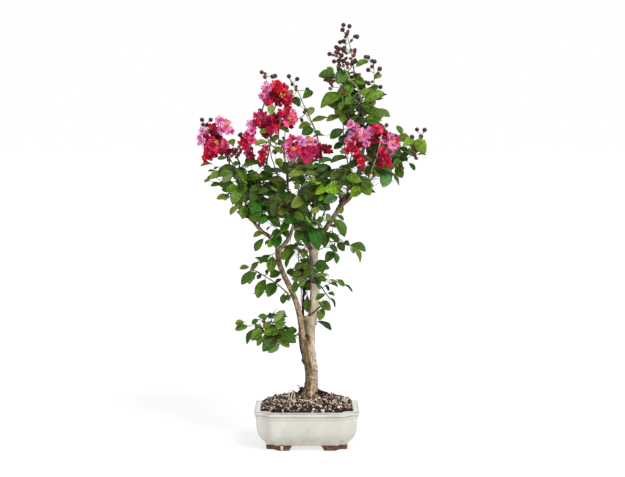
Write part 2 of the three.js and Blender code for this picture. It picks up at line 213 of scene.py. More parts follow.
def make_object(name, verts_m, quads, tris, mat_index, materials, smooth=True):
    me = bpy.data.meshes.new(name)
    nq, nt = len(quads), len(tris)
    me.vertices.add(len(verts_m))
    me.vertices.foreach_set("co", np.asarray(verts_m, np.float32).ravel())
    loops = np.concatenate([np.asarray(quads).ravel(), np.asarray(tris).ravel()]).astype(np.int32)
    me.loops.add(len(loops))
    me.loops.foreach_set("vertex_index", loops)
    me.polygons.add(nq + nt)
    starts = np.concatenate([np.arange(nq) * 4, nq * 4 + np.arange(nt) * 3]).astype(np.int32)
    me.polygons.foreach_set("loop_start", starts)
    for mat in materials:
        me.materials.append(mat)
    if mat_index is not None and len(mat_index):
        me.polygons.foreach_set("material_index", np.asarray(mat_index, np.int32))
    me.polygons.foreach_set("use_smooth", np.full(nq + nt, bool(smooth)))
    me.update(calc_edges=True)
    me.validate()
    ob = bpy.data.objects.new(name, me)
    scene.collection.objects.link(ob)
    return ob


def grid_quads(rows, cols, wrap=False):
    """Quads of a rows x cols grid of points; wrap closes it round the columns."""
    r, c = np.meshgrid(np.arange(rows - 1), np.arange(cols if wrap else cols - 1), indexing="ij")
    r, c = r.ravel(), c.ravel()
    c2 = (c + 1) % cols
    return np.stack([r * cols + c, r * cols + c2, (r + 1) * cols + c2, (r + 1) * cols + c], 1)


def frames_along(path):
    """Tangent and two cross directions at each point, turned as little as possible along the way."""
    tan = unit(np.gradient(path, axis=0))
    ref = np.array([1.0, 0, 0]) if abs(tan[0, 0]) < 0.8 else np.array([0, 1.0, 0])
    side = np.zeros_like(tan)
    s = unit(ref - tan[0] * (ref @ tan[0]))
    side[0] = s
    for i in range(1, len(path)):
        s = s - tan[i] * (s @ tan[i])
        s = s / max(np.linalg.norm(s), 1e-9)
        side[i] = s
    return tan, side, np.cross(tan, side)


def tube(mesh, path, radius, sides=6, mat=0, caps=True):
    path = np.asarray(path, float)
    radius = np.broadcast_to(np.asarray(radius, float), (len(path),))
    tan, s, u = frames_along(path)
    a = 2 * np.pi * np.arange(sides) / sides
    ring = path[:, None] + radius[:, None, None] * (np.cos(a)[None, :, None] * s[:, None] + np.sin(a)[None, :, None] * u[:, None])
    v = ring.reshape(-1, 3)
    quads = grid_quads(len(path), sides, True)
    tris = None
    if caps:
        n = len(v)
        v = np.vstack([v, path[0], path[-1] + tan[-1] * radius[-1] * 0.5])
        k = np.arange(sides)
        k2 = (k + 1) % sides
        last = (len(path) - 1) * sides
        tris = np.vstack([np.stack([k2, k, np.full(sides, n)], 1), np.stack([last + k, last + k2, np.full(sides, n + 1)], 1)])
    mesh.add(v, quads, tris, mat, mat)


# ------------------------------------------------------------------ materials
def principled(name, colour=None, rough=0.5, spec=0.5, coat=0.0, coat_rough=0.1, sheen=0.0):
    m = bpy.data.materials.new(name)
    m.use_nodes = True
    b = m.node_tree.nodes["Principled BSDF"]
    if colour is not None:
        b.inputs["Base Color"].default_value = (*colour, 1)
    b.inputs["Roughness"].default_value = rough
    b.inputs["Specular IOR Level"].default_value = spec
    b.inputs["Coat Weight"].default_value = coat
    b.inputs["Coat Roughness"].default_value = coat_rough
    b.inputs["Sheen Weight"].default_value = sheen
    return m


class Nodes:
    """Short hand for a material's nodes."""

    def __init__(self, material):
        self.t = material.node_tree
        self.out = self.t.nodes["Principled BSDF"]

    def new(self, kind, **props):
        n = self.t.nodes.new(kind)
        for k, v in props.items():
            setattr(n, k, v)
        return n

    def link(self, a, b):
        self.t.links.new(a, b)

    def coords(self, scale=(1, 1, 1)):
        c = self.new("ShaderNodeTexCoord")
        m = self.new("ShaderNodeMapping")
        m.inputs["Scale"].default_value = scale
        self.link(c.outputs["Object"], m.inputs["Vector"])
        return m.outputs["Vector"]

    def noise(self, vec, scale, detail=4, rough=0.55, distortion=0.0):
        n = self.new("ShaderNodeTexNoise")
        n.inputs["Scale"].default_value = scale
        n.inputs["Detail"].default_value = detail
        n.inputs["Roughness"].default_value = rough
        n.inputs["Distortion"].default_value = distortion
        self.link(vec, n.inputs["Vector"])
        return n.outputs["Fac"]

    def ramp(self, fac, stops, smooth=False):
        r = self.new("ShaderNodeValToRGB")
        r.color_ramp.interpolation = "EASE" if smooth else "LINEAR"
        while len(r.color_ramp.elements) < len(stops):
            r.color_ramp.elements.new(0.5)
        for e, (pos, col) in zip(r.color_ramp.elements, stops):
            e.position = pos
            e.color = (*col, 1) if len(col) == 3 else col
        self.link(fac, r.inputs["Fac"])
        return r.outputs["Color"]

    def mix(self, fac, a, b, mode="MIX"):
        n = self.new("ShaderNodeMix", data_type="RGBA", blend_type=mode)
        for socket, value in ((n.inputs[0], fac), (n.inputs[6], a), (n.inputs[7], b)):
            if hasattr(value, "is_output"):
                self.link(value, socket)
            elif isinstance(value, (int, float)):
                socket.default_value = value
            else:
                socket.default_value = (*value, 1)
        return n.outputs[2]

    def maths(self, op, a, b=0.0, clamp=False):
        n = self.new("ShaderNodeMath", operation=op, use_clamp=clamp)
        for socket, value in ((n.inputs[0], a), (n.inputs[1], b)):
            if hasattr(value, "is_output"):
                self.link(value, socket)
            else:
                socket.default_value = value
        return n.outputs[0]

    def bump(self, height, strength, distance):
        n = self.new("ShaderNodeBump")
        n.inputs["Strength"].default_value = strength
        n.inputs["Distance"].default_value = distance
        self.link(height, n.inputs["Height"])
        self.link(n.outputs["Normal"], self.out.inputs["Normal"])

    def attribute(self, name):
        n = self.new("ShaderNodeAttribute", attribute_name=name)
        return n


def attribute(ob, name, values):
    a = ob.data.attributes.new(name, "FLOAT", "POINT")
    a.data.foreach_set("value", np.asarray(values, np.float32))


# ------------------------------------------------------------------ camera, light and floor
cam_data = bpy.data.cameras.new("camera")
cam_data.sensor_fit = "HORIZONTAL"
cam_data.sensor_width = 36.0
cam_data.lens = 36.0 * FOCAL / 625.0
cam_data.clip_start, cam_data.clip_end = 0.05, 60.0
camera = bpy.data.objects.new("camera", cam_data)
scene.collection.objects.link(camera)
camera.location = put(EYE)
camera.rotation_euler = (math.pi / 2 - PITCH, 0, 0)
scene.camera = camera


def sun(name, direction, strength, angle, colour=(1, 1, 1)):
    """A far, soft light that shines from the given direction."""
    d = bpy.data.lights.new(name, "SUN")
    d.energy = strength
    d.angle = math.radians(angle)
    d.color = colour
    o = bpy.data.objects.new(name, d)
    scene.collection.objects.link(o)
    o.location = Vector(direction)
    o.rotation_euler = (-Vector(direction)).to_track_quat("-Z", "Y").to_euler()
    return o


sun("key", (1.3, -1.6, 2.1), 2.2, 22.0, (1.0, 0.985, 0.95))
sun("fill", (-1.8, -2.0, 1.0), 0.6, 50.0, (0.98, 0.99, 1.0))
sun("top", (0.1, 0.5, 2.6), 0.75, 40.0)

world = bpy.data.worlds.new("studio")
scene.world = world
world.use_nodes = True
wt = world.node_tree
wt.nodes.clear()
w_out = wt.nodes.new("ShaderNodeOutputWorld")
w_seen = wt.nodes.new("ShaderNodeBackground")
w_seen.inputs["Color"].default_value = (1.0, 1.0, 1.0, 1)
w_lit = wt.nodes.new("ShaderNodeBackground")
w_lit.inputs["Color"].default_value = (0.99, 0.995, 1.0, 1)
w_lit.inputs["Strength"].default_value = 0.62
w_path = wt.nodes.new("ShaderNodeLightPath")
w_mix = wt.nodes.new("ShaderNodeMixShader")
wt.links.new(w_path.outputs["Is Camera Ray"], w_mix.inputs[0])
wt.links.new(w_lit.outputs[0], w_mix.inputs[1])
wt.links.new(w_seen.outputs[0], w_mix.inputs[2])
wt.links.new(w_mix.outputs[0], w_out.inputs["Surface"])

floor_mat = principled("floor", (0.8, 0.8, 0.8), 0.9, 0.0)
floor_bsdf = floor_mat.node_tree.nodes["Principled BSDF"]
floor_bsdf.inputs["Base Color"].default_value = (0.32, 0.32, 0.32, 1)
floor_bsdf.inputs["Emission Color"].default_value = (1, 1, 1, 1)
floor_bsdf.inputs["Emission Strength"].default_value = 0.655
S = 30.0
floor = make_object("floor", np.array([[-S, -S, 0], [S, -S, 0], [S, S, 0], [-S, S, 0]]), np.array([[0, 1, 2, 3]]), np.zeros((0, 3), int), None, [floor_mat], False)

# ------------------------------------------------------------------ pot
POT_C = np.array([-11.0, 0.0])


def pot_outline(inset):
    hx, hy = 100.0 - inset, 67.5 - inset
    k = max(0.35, 1 - inset / 60.0)
    fx, nx, ny, c = 30.0 * k, 18.0 * k, 15.0 * k, 2.4 * k
    q = [
        (hx - fx - 1.6 * c, -hy), (hx - fx + 0.5 * c, -hy + 0.7 * c),
        (hx - nx - 0.6 * c, -hy + ny - c), (hx - nx + 1.2 * c, -hy + ny),
        (hx - c, -hy + ny + 0.1 * c), (hx, -hy + ny + 1.1 * c),
    ]
    pts = [(0, -hy), *q, (hx, 0), *[(x, -y) for x, y in q[::-1]], (0, hy), *[(-x, -y) for x, y in q], (-hx, 0), *[(-x, y) for x, y in q[::-1]]]
    return np.array(pts, float) + POT_C


def soften(poly, cut, rounds=2):
    """Rounds the corners of a closed outline by cutting them, the same count of points every time."""
    for _ in range(rounds):
        nxt = np.roll(poly, -1, 0)
        d = nxt - poly
        f = np.minimum(0.27, cut / np.maximum(np.linalg.norm(d, axis=1, keepdims=True), 1e-9))
        poly = np.stack([poly + d * f, nxt - d * f], 1).reshape(-1, 2)
        cut *= 0.5
    return poly


_ref = soften(pot_outline(0), 1.5)
_seg = np.maximum(1, np.round(np.linalg.norm(np.roll(_ref, -1, 0) - _ref, axis=1) / 3.2).astype(int))


def fine_outline(inset, cut=1.5):
    p = soften(pot_outline(inset), cut)
    nxt = np.roll(p, -1, 0)
    return np.vstack([p[i] + (nxt[i] - p[i]) * (np.arange(n) / n)[:, None] for i, n in enumerate(_seg)])


def smooth_profile(points, step):
    """More stations between the given (z, inset) ones, on a smooth curve."""
    p = np.array([(a, b, 0.0) for a, b in points])
    return spline(p, step)[:, :2]


bowl = smooth_profile([(8.6, 24.5), (9.3, 22.9), (11.3, 21.3), (15, 19.2), (21, 14.1), (27, 9.7), (34.5, 6.5), (43, 4.6), (52, 3.8), (60, 3.5), (63.0, 3.4)], 2.6)
rim = [
    (63.5, 3.25), (63.8, 2.75), (64.1, 2.35), (64.7, 2.1), (66.2, 1.95), (67.7, 1.9), (68.2, 2.0), (68.5, 2.5), (68.8, 2.55),
    (69.05, 1.9), (69.3, 0.95), (69.7, 0.45), (70.4, 0.15), (72.0, 0.0), (74.6, 0.0), (75.7, 0.1), (76.4, 0.45), (76.8, 1.1), (77.0, 2.1),
    (77.0, 4.5), (76.95, 7.5), (76.8, 10.0), (76.6, 11.2), (76.0, 12.1), (74.8, 12.5), (72, 12.6), (68, 12.5),
]
inner = [(60, 12.3), (42, 12.4), (27, 16.5), (19, 23), (16.6, 27), (16, 30), (16, 40), (16, 60)]
stations = np.vstack([[(8.6, 60.0), (8.6, 40.0), (8.6, 30.0), (8.6, 25.6)], bowl, rim, inner])
rings = []
for z, inset in stations:
    o = fine_outline(inset, 1.5 if inset < 20 else 1.2)
    rings.append(np.column_stack([o, np.full(len(o), z)]))
rings = np.array(rings)
nr, ns = rings.shape[:2]
# the thrown and glazed wall isn't dead flat
flat = rings.reshape(-1, 3)
out = unit(np.column_stack([flat[:, :2] - POT_C, np.zeros(len(flat))]))
wob = 0.35 * fbm(flat, 60.0, 3, 3) + 0.10 * fbm(flat, 9.0, 8, 3)
zz = flat[:, 2]
side = np.repeat((np.arange(nr) >= 4) & (np.arange(nr) < nr - 10), ns)
flat = flat + out * (wob * side)[:, None]
flat[:, 2] += 0.18 * fbm(flat, 30.0, 5, 2) * (zz > 60)
# how much of the brown line each point of the wall carries
edge_line = np.zeros(nr)
for j, (z, inset) in enumerate(stations):
    if 3 < j < nr - 8:
        if inset < 3:
            edge_line[j] = max(0.0, 1 - abs(z - 76.2) / 1.1)
        elif 10.4 < inset < 12.7 and z > 74:
            edge_line[j] = 0.55 * max(0.0, 1 - abs(inset - 12.1) / 0.9)
edge_line = np.repeat(edge_line, ns)
edge_points = flat.copy()
pot_mesh = Mesh()
v = np.vstack([flat, [[*POT_C, 8.6]], [[*POT_C, 16.0]]])
k = np.arange(ns)
k2 = (k + 1) % ns
last = (nr - 1) * ns
pot_mesh.add(
    v, grid_quads(nr, ns, True),
    np.vstack([np.stack([k2, k, np.full(ns, nr * ns)], 1), np.stack([last + k, last + k2, np.full(ns, nr * ns + 1)], 1)]),
)

glaze = principled("glaze", None, 0.2, 0.5)
g = Nodes(glaze)
vec = g.coords()
sep = g.new("ShaderNodeSeparateXYZ")
g.link(vec, sep.inputs[0])
z_m = sep.outputs["Z"]
cloud = g.noise(vec, 22.0, 5, 0.6, 0.6)
base = g.ramp(cloud, [(0.30, lin("#b7b5a8")), (0.52, lin("#c3c2b8")), (0.75, lin("#cecdc6"))], True)
# the rim is whiter: a cooler white glaze, with painted top light on its upward face
high = g.new("ShaderNodeMapRange", clamp=True)
g.link(z_m, high.inputs["Value"])
high.inputs["From Min"].default_value = 0.0745
high.inputs["From Max"].default_value = 0.0768
base = g.mix(g.maths("MULTIPLY", high.outputs[0], 0.85), base, lin("#e3e6e4"))
# glaze runs thicker and warmer low on the wall, in drips
stretch = g.coords((60, 60, 9))
drips = g.noise(stretch, 1.0, 4, 0.6)
low = g.new("ShaderNodeMapRange", clamp=True)
g.link(z_m, low.inputs["Value"])
low.inputs["From Min"].default_value = 0.036
low.inputs["From Max"].default_value = 0.010
drip_f = g.maths("MULTIPLY", g.ramp(drips, [(0.42, (0, 0, 0)), (0.68, (1, 1, 1))]), low.outputs[0])
base = g.mix(g.maths("MULTIPLY", drip_f, 0.7), base, lin("#a39272"))
base = g.mix(g.maths("MULTIPLY", low.outputs[0], 0.25), base, lin("#b9b39f"))
# the glaze thins to a brown line at the lip, and the wall is darker in a band in the groove under it
wave = g.maths("MULTIPLY", g.maths("SUBTRACT", g.noise(vec, 90.0, 3), 0.5), 0.0012)
zw = g.maths("ADD", z_m, wave)


def band(at_z, half, strength):
    d = g.maths("ABSOLUTE", g.maths("SUBTRACT", zw, at_z))
    f = g.maths("SUBTRACT", 1.0, g.maths("DIVIDE", d, half), clamp=True)
    return g.maths("MULTIPLY", f, strength)


thin = g.ramp(g.noise(vec, 45.0, 3), [(0.35, (0.45, 0.45, 0.45)), (0.6, (1, 1, 1))])
lip = g.maths("MULTIPLY", g.attribute("edge_line").outputs["Fac"], thin)
base = g.mix(g.maths("MULTIPLY", lip, 1.15, clamp=True), base, lin("#54483c"))
base = g.mix(band(0.0687, 0.0012, 0.72), base, lin("#8a8375"))
base = g.mix(band(0.0638, 0.0006, 0.12), base, lin("#9a9486"))
# pinholes
pin = g.new("ShaderNodeTexVoronoi")
pin.inputs["Scale"].default_value = 95.0
g.link(vec, pin.inputs["Vector"])
dots = g.ramp(pin.outputs["Distance"], [(0.0, (1, 1, 1)), (0.055, (1, 1, 1)), (0.085, (0, 0, 0))])
rare = g.ramp(g.noise(vec, 60.0, 2), [(0.56, (0, 0, 0)), (0.62, (1, 1, 1))])
base = g.mix(g.maths("MULTIPLY", g.maths("MULTIPLY", dots, rare), 0.6), base, lin("#74675a"))
g.link(base, g.out.inputs["Base Color"])
g.link(g.ramp(cloud, [(0.3, (0.28,) * 3), (0.7, (0.15,) * 3)]), g.out.inputs["Roughness"])
g.bump(g.noise(vec, 140.0, 4), 0.12, 0.0006)

pot = pot_mesh.build("glazed_pot", [glaze])
# drain holes through the bottom
holes = Mesh()
for sx in (-1, 1):
    tube(holes, np.array([[POT_C[0] + sx * 36.0, 0, 4.0], [POT_C[0] + sx * 36.0, 0, 22.0]]), 6.5, 28)
cutter = holes.build("cutter", [glaze], False)
mod = pot.modifiers.new("holes", "BOOLEAN")
mod.operation = "DIFFERENCE"
mod.solver = "EXACT"
mod.object = cutter
dg = bpy.context.evaluated_depsgraph_get()
cut_mesh = bpy.data.meshes.new_from_object(pot.evaluated_get(dg))
pot.modifiers.clear()
pot.data = cut_mesh
bpy.data.objects.remove(cutter)
tree = KDTree(len(edge_points))
for i, p in enumerate(put(edge_points)):
    tree.insert(p, i)
tree.balance()
attribute(pot, "edge_line", [edge_line[tree.find(w.co)[1]] for w in cut_mesh.vertices])
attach(pot, "root")
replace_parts(pot, "pot")

# feet: cut brackets of bare clay, their edges worn round
clay = principled("foot_clay", None, 0.85, 0.25)
g = Nodes(clay)
vec = g.coords()
g.link(g.ramp(g.noise(vec, 160.0, 5, 0.65), [(0.3, lin("#40241c")), (0.5, lin("#603f35")), (0.72, lin("#83604f"))]), g.out.inputs["Base Color"])
g.bump(g.noise(vec, 420.0, 4), 0.5, 0.0005)


def foot(name, sx, sy):
    ox, ix, oy, iy, t = 78.0, 27.0, 46.5, 15.0, 9.5
    o = np.array([(ox, iy), (ox, oy - 13), (ox - 14, oy - 12), (ox - 23, oy), (ix, oy), (ix + 4, oy - t), (ox - 26, oy - t), (ox - t - 6, oy - t - 9), (ox - t, oy - t - 12), (ox - t, iy + 3)])
    o = soften(o, 2.2, 3)
    nxt, prv = np.roll(o, -1, 0), np.roll(o, 1, 0)
    tan = unit(nxt - prv)
    nrm = np.column_stack([tan[:, 1], -tan[:, 0]])
    area = 0.5 * np.sum(o[:, 0] * nxt[:, 1] - nxt[:, 0] * o[:, 1])
    if area < 0:
        nrm = -nrm
    m = Mesh()
    rs = []
    for z, i in [(0.0, 1.1), (0.12, 0.55), (0.5, 0.15), (1.2, 0.0), (3.0, -0.05), (5.0, 0.0), (7.0, 0.05), (8.3, 0.1)]:
        # the bracket's ends are cut back towards the ground
        cut = o - nrm * i
        back = np.clip(1 - z / 8.3, 0, 1)
        cut[:, 0] += 6.0 * back * np.clip((38.0 - cut[:, 0]) / 11.0, 0, 1)
        cut[:, 1] += 5.0 * back * np.clip((24.0 - cut[:, 1]) / 9.0, 0, 1)
        rs.append(np.column_stack([cut, np.full(len(o), z)]))
    r = np.array(rs).reshape(-1, 3)
    d = 0.22 * fbm(r + [sx * 90, sy * 70, 0], 7.0, 21, 3)
    r[:, :2] += np.tile(nrm, (len(rs), 1)) * d[:, None]
    r = np.vstack([r, [o[:, 0].mean(), o[:, 1].mean(), 0.0], [o[:, 0].mean(), o[:, 1].mean(), 8.3]])
    n = len(o)
    kk = np.arange(n)
    kn = (kk + 1) % n
    top = (len(rs) - 1) * n
    quads = grid_quads(len(rs), n, True)
    tris = np.vstack([np.stack([kn, kk, np.full(n, len(r) - 2)], 1), np.stack([top + kk, top + kn, np.full(n, len(r) - 1)], 1)])
    if (area < 0) != (sx * sy < 0):
        quads, tris = quads[:, ::-1], tris[:, ::-1]
    r[:, 0] = POT_C[0] + sx * r[:, 0]
    r[:, 1] = POT_C[1] + sy * r[:, 1]
    m.add(r, quads, tris)
    ob = m.build(name, [clay])
    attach(ob, "root")
    return ob


for nm, sx, sy in (("front_left", -1, -1), ("front_right", 1, -1), ("back_left", -1, 1), ("back_right", 1, 1)):
    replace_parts(foot("clay_foot_" + nm, sx, sy), "foot_" + nm)

# a run of glaze over the left front foot
drip = Mesh()
tube(drip, np.array([(-58.4, -46.6, 9.4), (-58.6, -47.0, 7.6), (-58.6, -47.2, 5.4), (-58.4, -47.1, 3.4), (-58.5, -46.9, 1.9)]), [3.2, 2.9, 2.6, 3.0, 1.6], 14)
ob = drip.build("glaze_drip", [glaze])
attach(ob, "root")

# ------------------------------------------------------------------ soil
SOIL_Z = ([12.6, 13.1, 14.6, 20, 29, 42, 56, 67.5], [70.0, 71.5, 79.0, 86.5, 91.2, 95.2, 97.3, 98.6])


def soil_inset(x, y):
    ax, ay = np.abs(x - POT_C[0]), np.abs(y)
    side_in = np.minimum(100.0 - ax, 67.5 - ay)
    # the corner notch
    dx, dy = ax - 82.0, ay - 52.5
    notch = np.hypot(np.maximum(-dx, 0), np.maximum(-dy, 0))
    return np.minimum(side_in, np.where((dx < 0) | (dy < 0), notch, -1.0) + 0.0)


def heap(r):
    return np.interp(r, [0, 14, 24, 40, 55, 70, 82, 95], [102.5, 102.3, 100.4, 95.6, 91.6, 88.0, 84.8, 78.0])


def soil_height(x, y):
    i = soil_inset(x, y)
    z = np.interp(i, *SOIL_Z)
    r = np.hypot(x + 8.7, (y - 1) / 0.8)
    z = np.minimum(z, heap(r))
    return z + 1.1 * fbm(np.column_stack([np.ravel(x), np.ravel(y), np.zeros(np.size(x))]), 22.0, 41, 3).reshape(np.shape(x))


soil = Mesh()
insets = [29.4, 24.0, 17.2, 13.0, 12.9, 12.9, 13.2, 14.2, 16, 18, 20.5, 23.5, 27, 31, 35, 40, 45, 50, 55, 60]
zs = [16.6, 19.6, 27.6, 42.4, 60.0, 69.5]
rows = []
for j, i in enumerate(insets):
    o = fine_outline(i, 1.2)
    if j < len(zs):
        z = np.full(len(o), zs[j])
    else:
        z = np.minimum(np.interp(i, *SOIL_Z), heap(np.hypot(o[:, 0] + 8.7, (o[:, 1] - 1) / 0.8)))
        z = z + 1.1 * fbm(np.column_stack([o, np.zeros(len(o))]), 22.0, 41, 3)
    rows.append(np.column_stack([o, z]))
rows = np.array(rows)
v = np.vstack([rows.reshape(-1, 3), [[*POT_C, 16.6]], [[*POT_C, 100.5]]])
nrs = len(rows)
soil.add(
    v, grid_quads(nrs, ns, True),
    np.vstack([np.stack([k2, k, np.full(ns, nrs * ns)], 1), np.stack([(nrs - 1) * ns + k, (nrs - 1) * ns + k2, np.full(ns, nrs * ns + 1)], 1)]),
)
soil_mat = principled("soil_bed", None, 0.95, 0.2)
g = Nodes(soil_mat)
vec = g.coords()
g.link(g.ramp(g.noise(vec, 260.0, 6, 0.7), [(0.3, lin("#1b120d")), (0.55, lin("#3a281c")), (0.75, lin("#5a4030"))]), g.out.inputs["Base Color"])
g.bump(g.noise(vec, 400.0, 6), 0.9, 0.0015)
bed = soil.build("soil_bed", [soil_mat])
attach(bed, "root")
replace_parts(bed, "soil")


def lattice_box():
    """Surface of a 4 x 3 x 2 lattice: 24 points, 22 quads, faces out."""
    idx = np.arange(24).reshape(4, 3, 2)
    p = np.stack(np.meshgrid(np.linspace(-1, 1, 4), np.linspace(-1, 1, 3), [-1, 1], indexing="ij"), -1).reshape(-1, 3)
    q = []
    for i in range(3):
        for j in range(2):
            q.append([idx[i, j, 1], idx[i + 1, j, 1], idx[i + 1, j + 1, 1], idx[i, j + 1, 1]])
            q.append([idx[i, j, 0], idx[i, j + 1, 0], idx[i + 1, j + 1, 0], idx[i + 1, j, 0]])
    for i in range(3):
        q.append([idx[i, 0, 0], idx[i + 1, 0, 0], idx[i + 1, 0, 1], idx[i, 0, 1]])
        q.append([idx[i, 2, 0], idx[i, 2, 1], idx[i + 1, 2, 1], idx[i + 1, 2, 0]])
    for j in range(2):
        q.append([idx[0, j, 0], idx[0, j, 1], idx[0, j + 1, 1], idx[0, j + 1, 0]])
        q.append([idx[3, j, 0], idx[3, j + 1, 0], idx[3, j + 1, 1], idx[3, j, 1]])
    return p, np.array(q)


def turn(axis_z, spin):
    """Right-handed axes with the third along axis_z, turned by spin about it."""
    axis_z = unit(axis_z)
    ref = np.where(np.abs(axis_z[:, :1]) > 0.9, np.array([[0, 1.0, 0]]), np.array([[1.0, 0, 0]]))
    x = unit(ref - axis_z * np.sum(ref * axis_z, 1, keepdims=True))
    y = np.cross(axis_z, x)
    c, s = np.cos(spin)[:, None], np.sin(spin)[:, None]
    return x * c + y * s, y * c - x * s, axis_z


def scatter_chips(n, length, width, thick, seed, tilt, lift, jit=0.32, keep_out=10.0, margin=14.2, band=1e9):
    r = np.random.RandomState(seed)
    x = r.uniform(-86, 86, n * 2) + POT_C[0]
    y = r.uniform(-54, 54, n * 2)
    ok = (soil_inset(x, y) > margin) & (soil_inset(x, y) < band) & (np.hypot(x + 8.7, (y - 1) / 0.9) > keep_out)
    x, y = x[ok][:n], y[ok][:n]
    n = len(x)
    z = soil_height(x, y)
    e = 1.5
    nx = -(soil_height(x + e, y) - soil_height(x - e, y)) / (2 * e)
    ny = -(soil_height(x, y + e) - soil_height(x, y - e)) / (2 * e)
    nrm = unit(np.column_stack([nx, ny, np.ones(n)]) + r.normal(0, tilt, (n, 3)))
    ax, ay, az = turn(nrm, r.uniform(0, 2 * np.pi, n))
    L = r.uniform(*length, n)
    W = r.uniform(*width, n)
    T = r.uniform(*thick, n)
    p0, q0 = lattice_box()
    loc = np.broadcast_to(p0, (n, 24, 3)).copy()
    taper = 1 - 0.35 * r.rand(n)[:, None] * (loc[:, :, 0] ** 2)
    loc[:, :, 1] *= taper
    loc[:, :, 2] *= 1 - 0.3 * (loc[:, :, 0] ** 2) * r.rand(n)[:, None]
    loc += r.normal(0, jit, loc.shape) * [0.32, 0.42, 0.5]
    loc *= np.stack([L / 2, W / 2, T / 2], 1)[:, None]
    pos = np.column_stack([x, y, z + T * 0.25 + r.uniform(*lift, n)])
    wv = pos[:, None] + loc[:, :, 0:1] * ax[:, None] + loc[:, :, 1:2] * ay[:, None] + loc[:, :, 2:3] * az[:, None]
    quads = (q0[None] + (np.arange(n) * 24)[:, None, None]).reshape(-1, 4)
    return wv.reshape(-1, 3), quads, n


chip_cols = ["#130c09", "#211611", "#35251b", "#4d392b", "#8d7463", "#ccb7a7", "#4a2317"]
chip_mats = [principled(f"bark_chip_{i}", lin(c), 0.8, 0.3) for i, c in enumerate(chip_cols)]
chips = Mesh()
for seed, n, ln, wd, th, tilt, lift in [
    (1, 1300, (4.0, 9.5), (2.2, 5.0), (0.9, 2.2), 0.35, (-0.4, 0.9)),
    (2, 1000, (2.5, 6.0), (1.8, 3.6), (0.8, 1.8), 0.5, (0.0, 1.6)),
    (3, 260, (7.0, 14.0), (1.6, 3.6), (0.7, 1.6), 0.4, (0.4, 2.0)),
    (4, 260, (4.5, 9.5), (1.8, 3.0), (0.8, 1.6), 0.5, (0.6, 2.2)),
    (5, 2600, (2.4, 5.6), (1.8, 3.4), (0.8, 1.7), 0.6, (0.0, 1.5)),
]:
    if seed == 5:
        wv, quads, n = scatter_chips(n, ln, wd, th, seed, tilt, lift, margin=14.4, band=22.0)
    else:
        wv, quads, n = scatter_chips(n, ln, wd, th, seed, tilt, lift)
    pick = np.random.RandomState(seed + 50).choice(7, n, p=[0.27, 0.24, 0.15, 0.10, 0.085, 0.085, 0.07] if seed != 4 else [0, 0, 0, 0.2, 0.4, 0.4, 0])
    chips.add(wv, quads, None, np.repeat(pick, 22))


def chip_pile(corners, n, depth, seed):
    """Dark chips heaped against the trunk inside a triangle of the view."""
    r = np.random.RandomState(seed)
    c = np.array([at(*(w @ np.array(corners)), r.uniform(*depth)) for w in r.dirichlet((1, 1, 1), n)])
    ax, ay, az = turn(r.normal(0, 1, (n, 3)) + [0, 0, 0.8], r.uniform(0, 2 * np.pi, n))
    p0, q0 = lattice_box()
    loc = np.broadcast_to(p0, (n, 24, 3)) + r.normal(0, 0.32, (n, 24, 3)) * [0.32, 0.42, 0.5]
    loc = loc * np.stack([r.uniform(3.0, 6.5, n), r.uniform(1.8, 3.4, n), r.uniform(0.9, 2.0, n)], 1)[:, None] / 2
    wv = c[:, None] + loc[:, :, 0:1] * ax[:, None] + loc[:, :, 1:2] * ay[:, None] + loc[:, :, 2:3] * az[:, None]
    quads = (q0[None] + (np.arange(n) * 24)[:, None, None]).reshape(-1, 4)
    chips.add(wv.reshape(-1, 3), quads, None, np.repeat(r.choice(7, n, p=[0.38, 0.30, 0.14, 0.07, 0.04, 0.03, 0.04]), 22))


chip_pile([(295.5, 396.0), (301.8, 386.8), (303.5, 396.0)], 110, (-15, -3), 61)
chip_pile([(314.0, 396.5), (318.6, 389.2), (331.0, 395.8)], 120, (-12, 2), 62)
ob = chips.build("bark_chips", chip_mats, False)
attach(ob, "root")
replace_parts(ob, "soil")

pumice_mats = [principled(f"pumice_{i}", lin(c), 0.9, 0.25) for i, c in enumerate(["#c9b6a8", "#a78e7e", "#8e7768", "#e6dcd2"])]
stones = Mesh()
for seed, n, size in [(11, 200, (2.6, 4.8)), (12, 210, (1.5, 3.0))]:
    wv, quads, n = scatter_chips(n, size, size, (size[0] * 0.8, size[1] * 0.8), seed, 1.2, (0.6, 1.9), 0.2)
    pick = np.random.RandomState(seed + 50).choice(4, n, p=[0.36, 0.26, 0.2, 0.18])
    stones.add(wv, quads, None, np.repeat(pick, 22))
ob = stones.build("pumice_stones", pumice_mats, False)
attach(ob, "root")
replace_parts(ob, "soil")


def on_soil(px, py, up):
    """The nearest point of the mix that is seen at px, py, lifted by up mm."""
    p = np.array([at(px, py, y) for y in np.linspace(-50.0, 20.0, 141)])
    gap = p[:, 2] - soil_height(p[:, 0], p[:, 1])
    hit = np.flatnonzero(gap < 0)
    return p[hit[0] if len(hit) else int(np.argmin(gap))] + [0, 0, up]


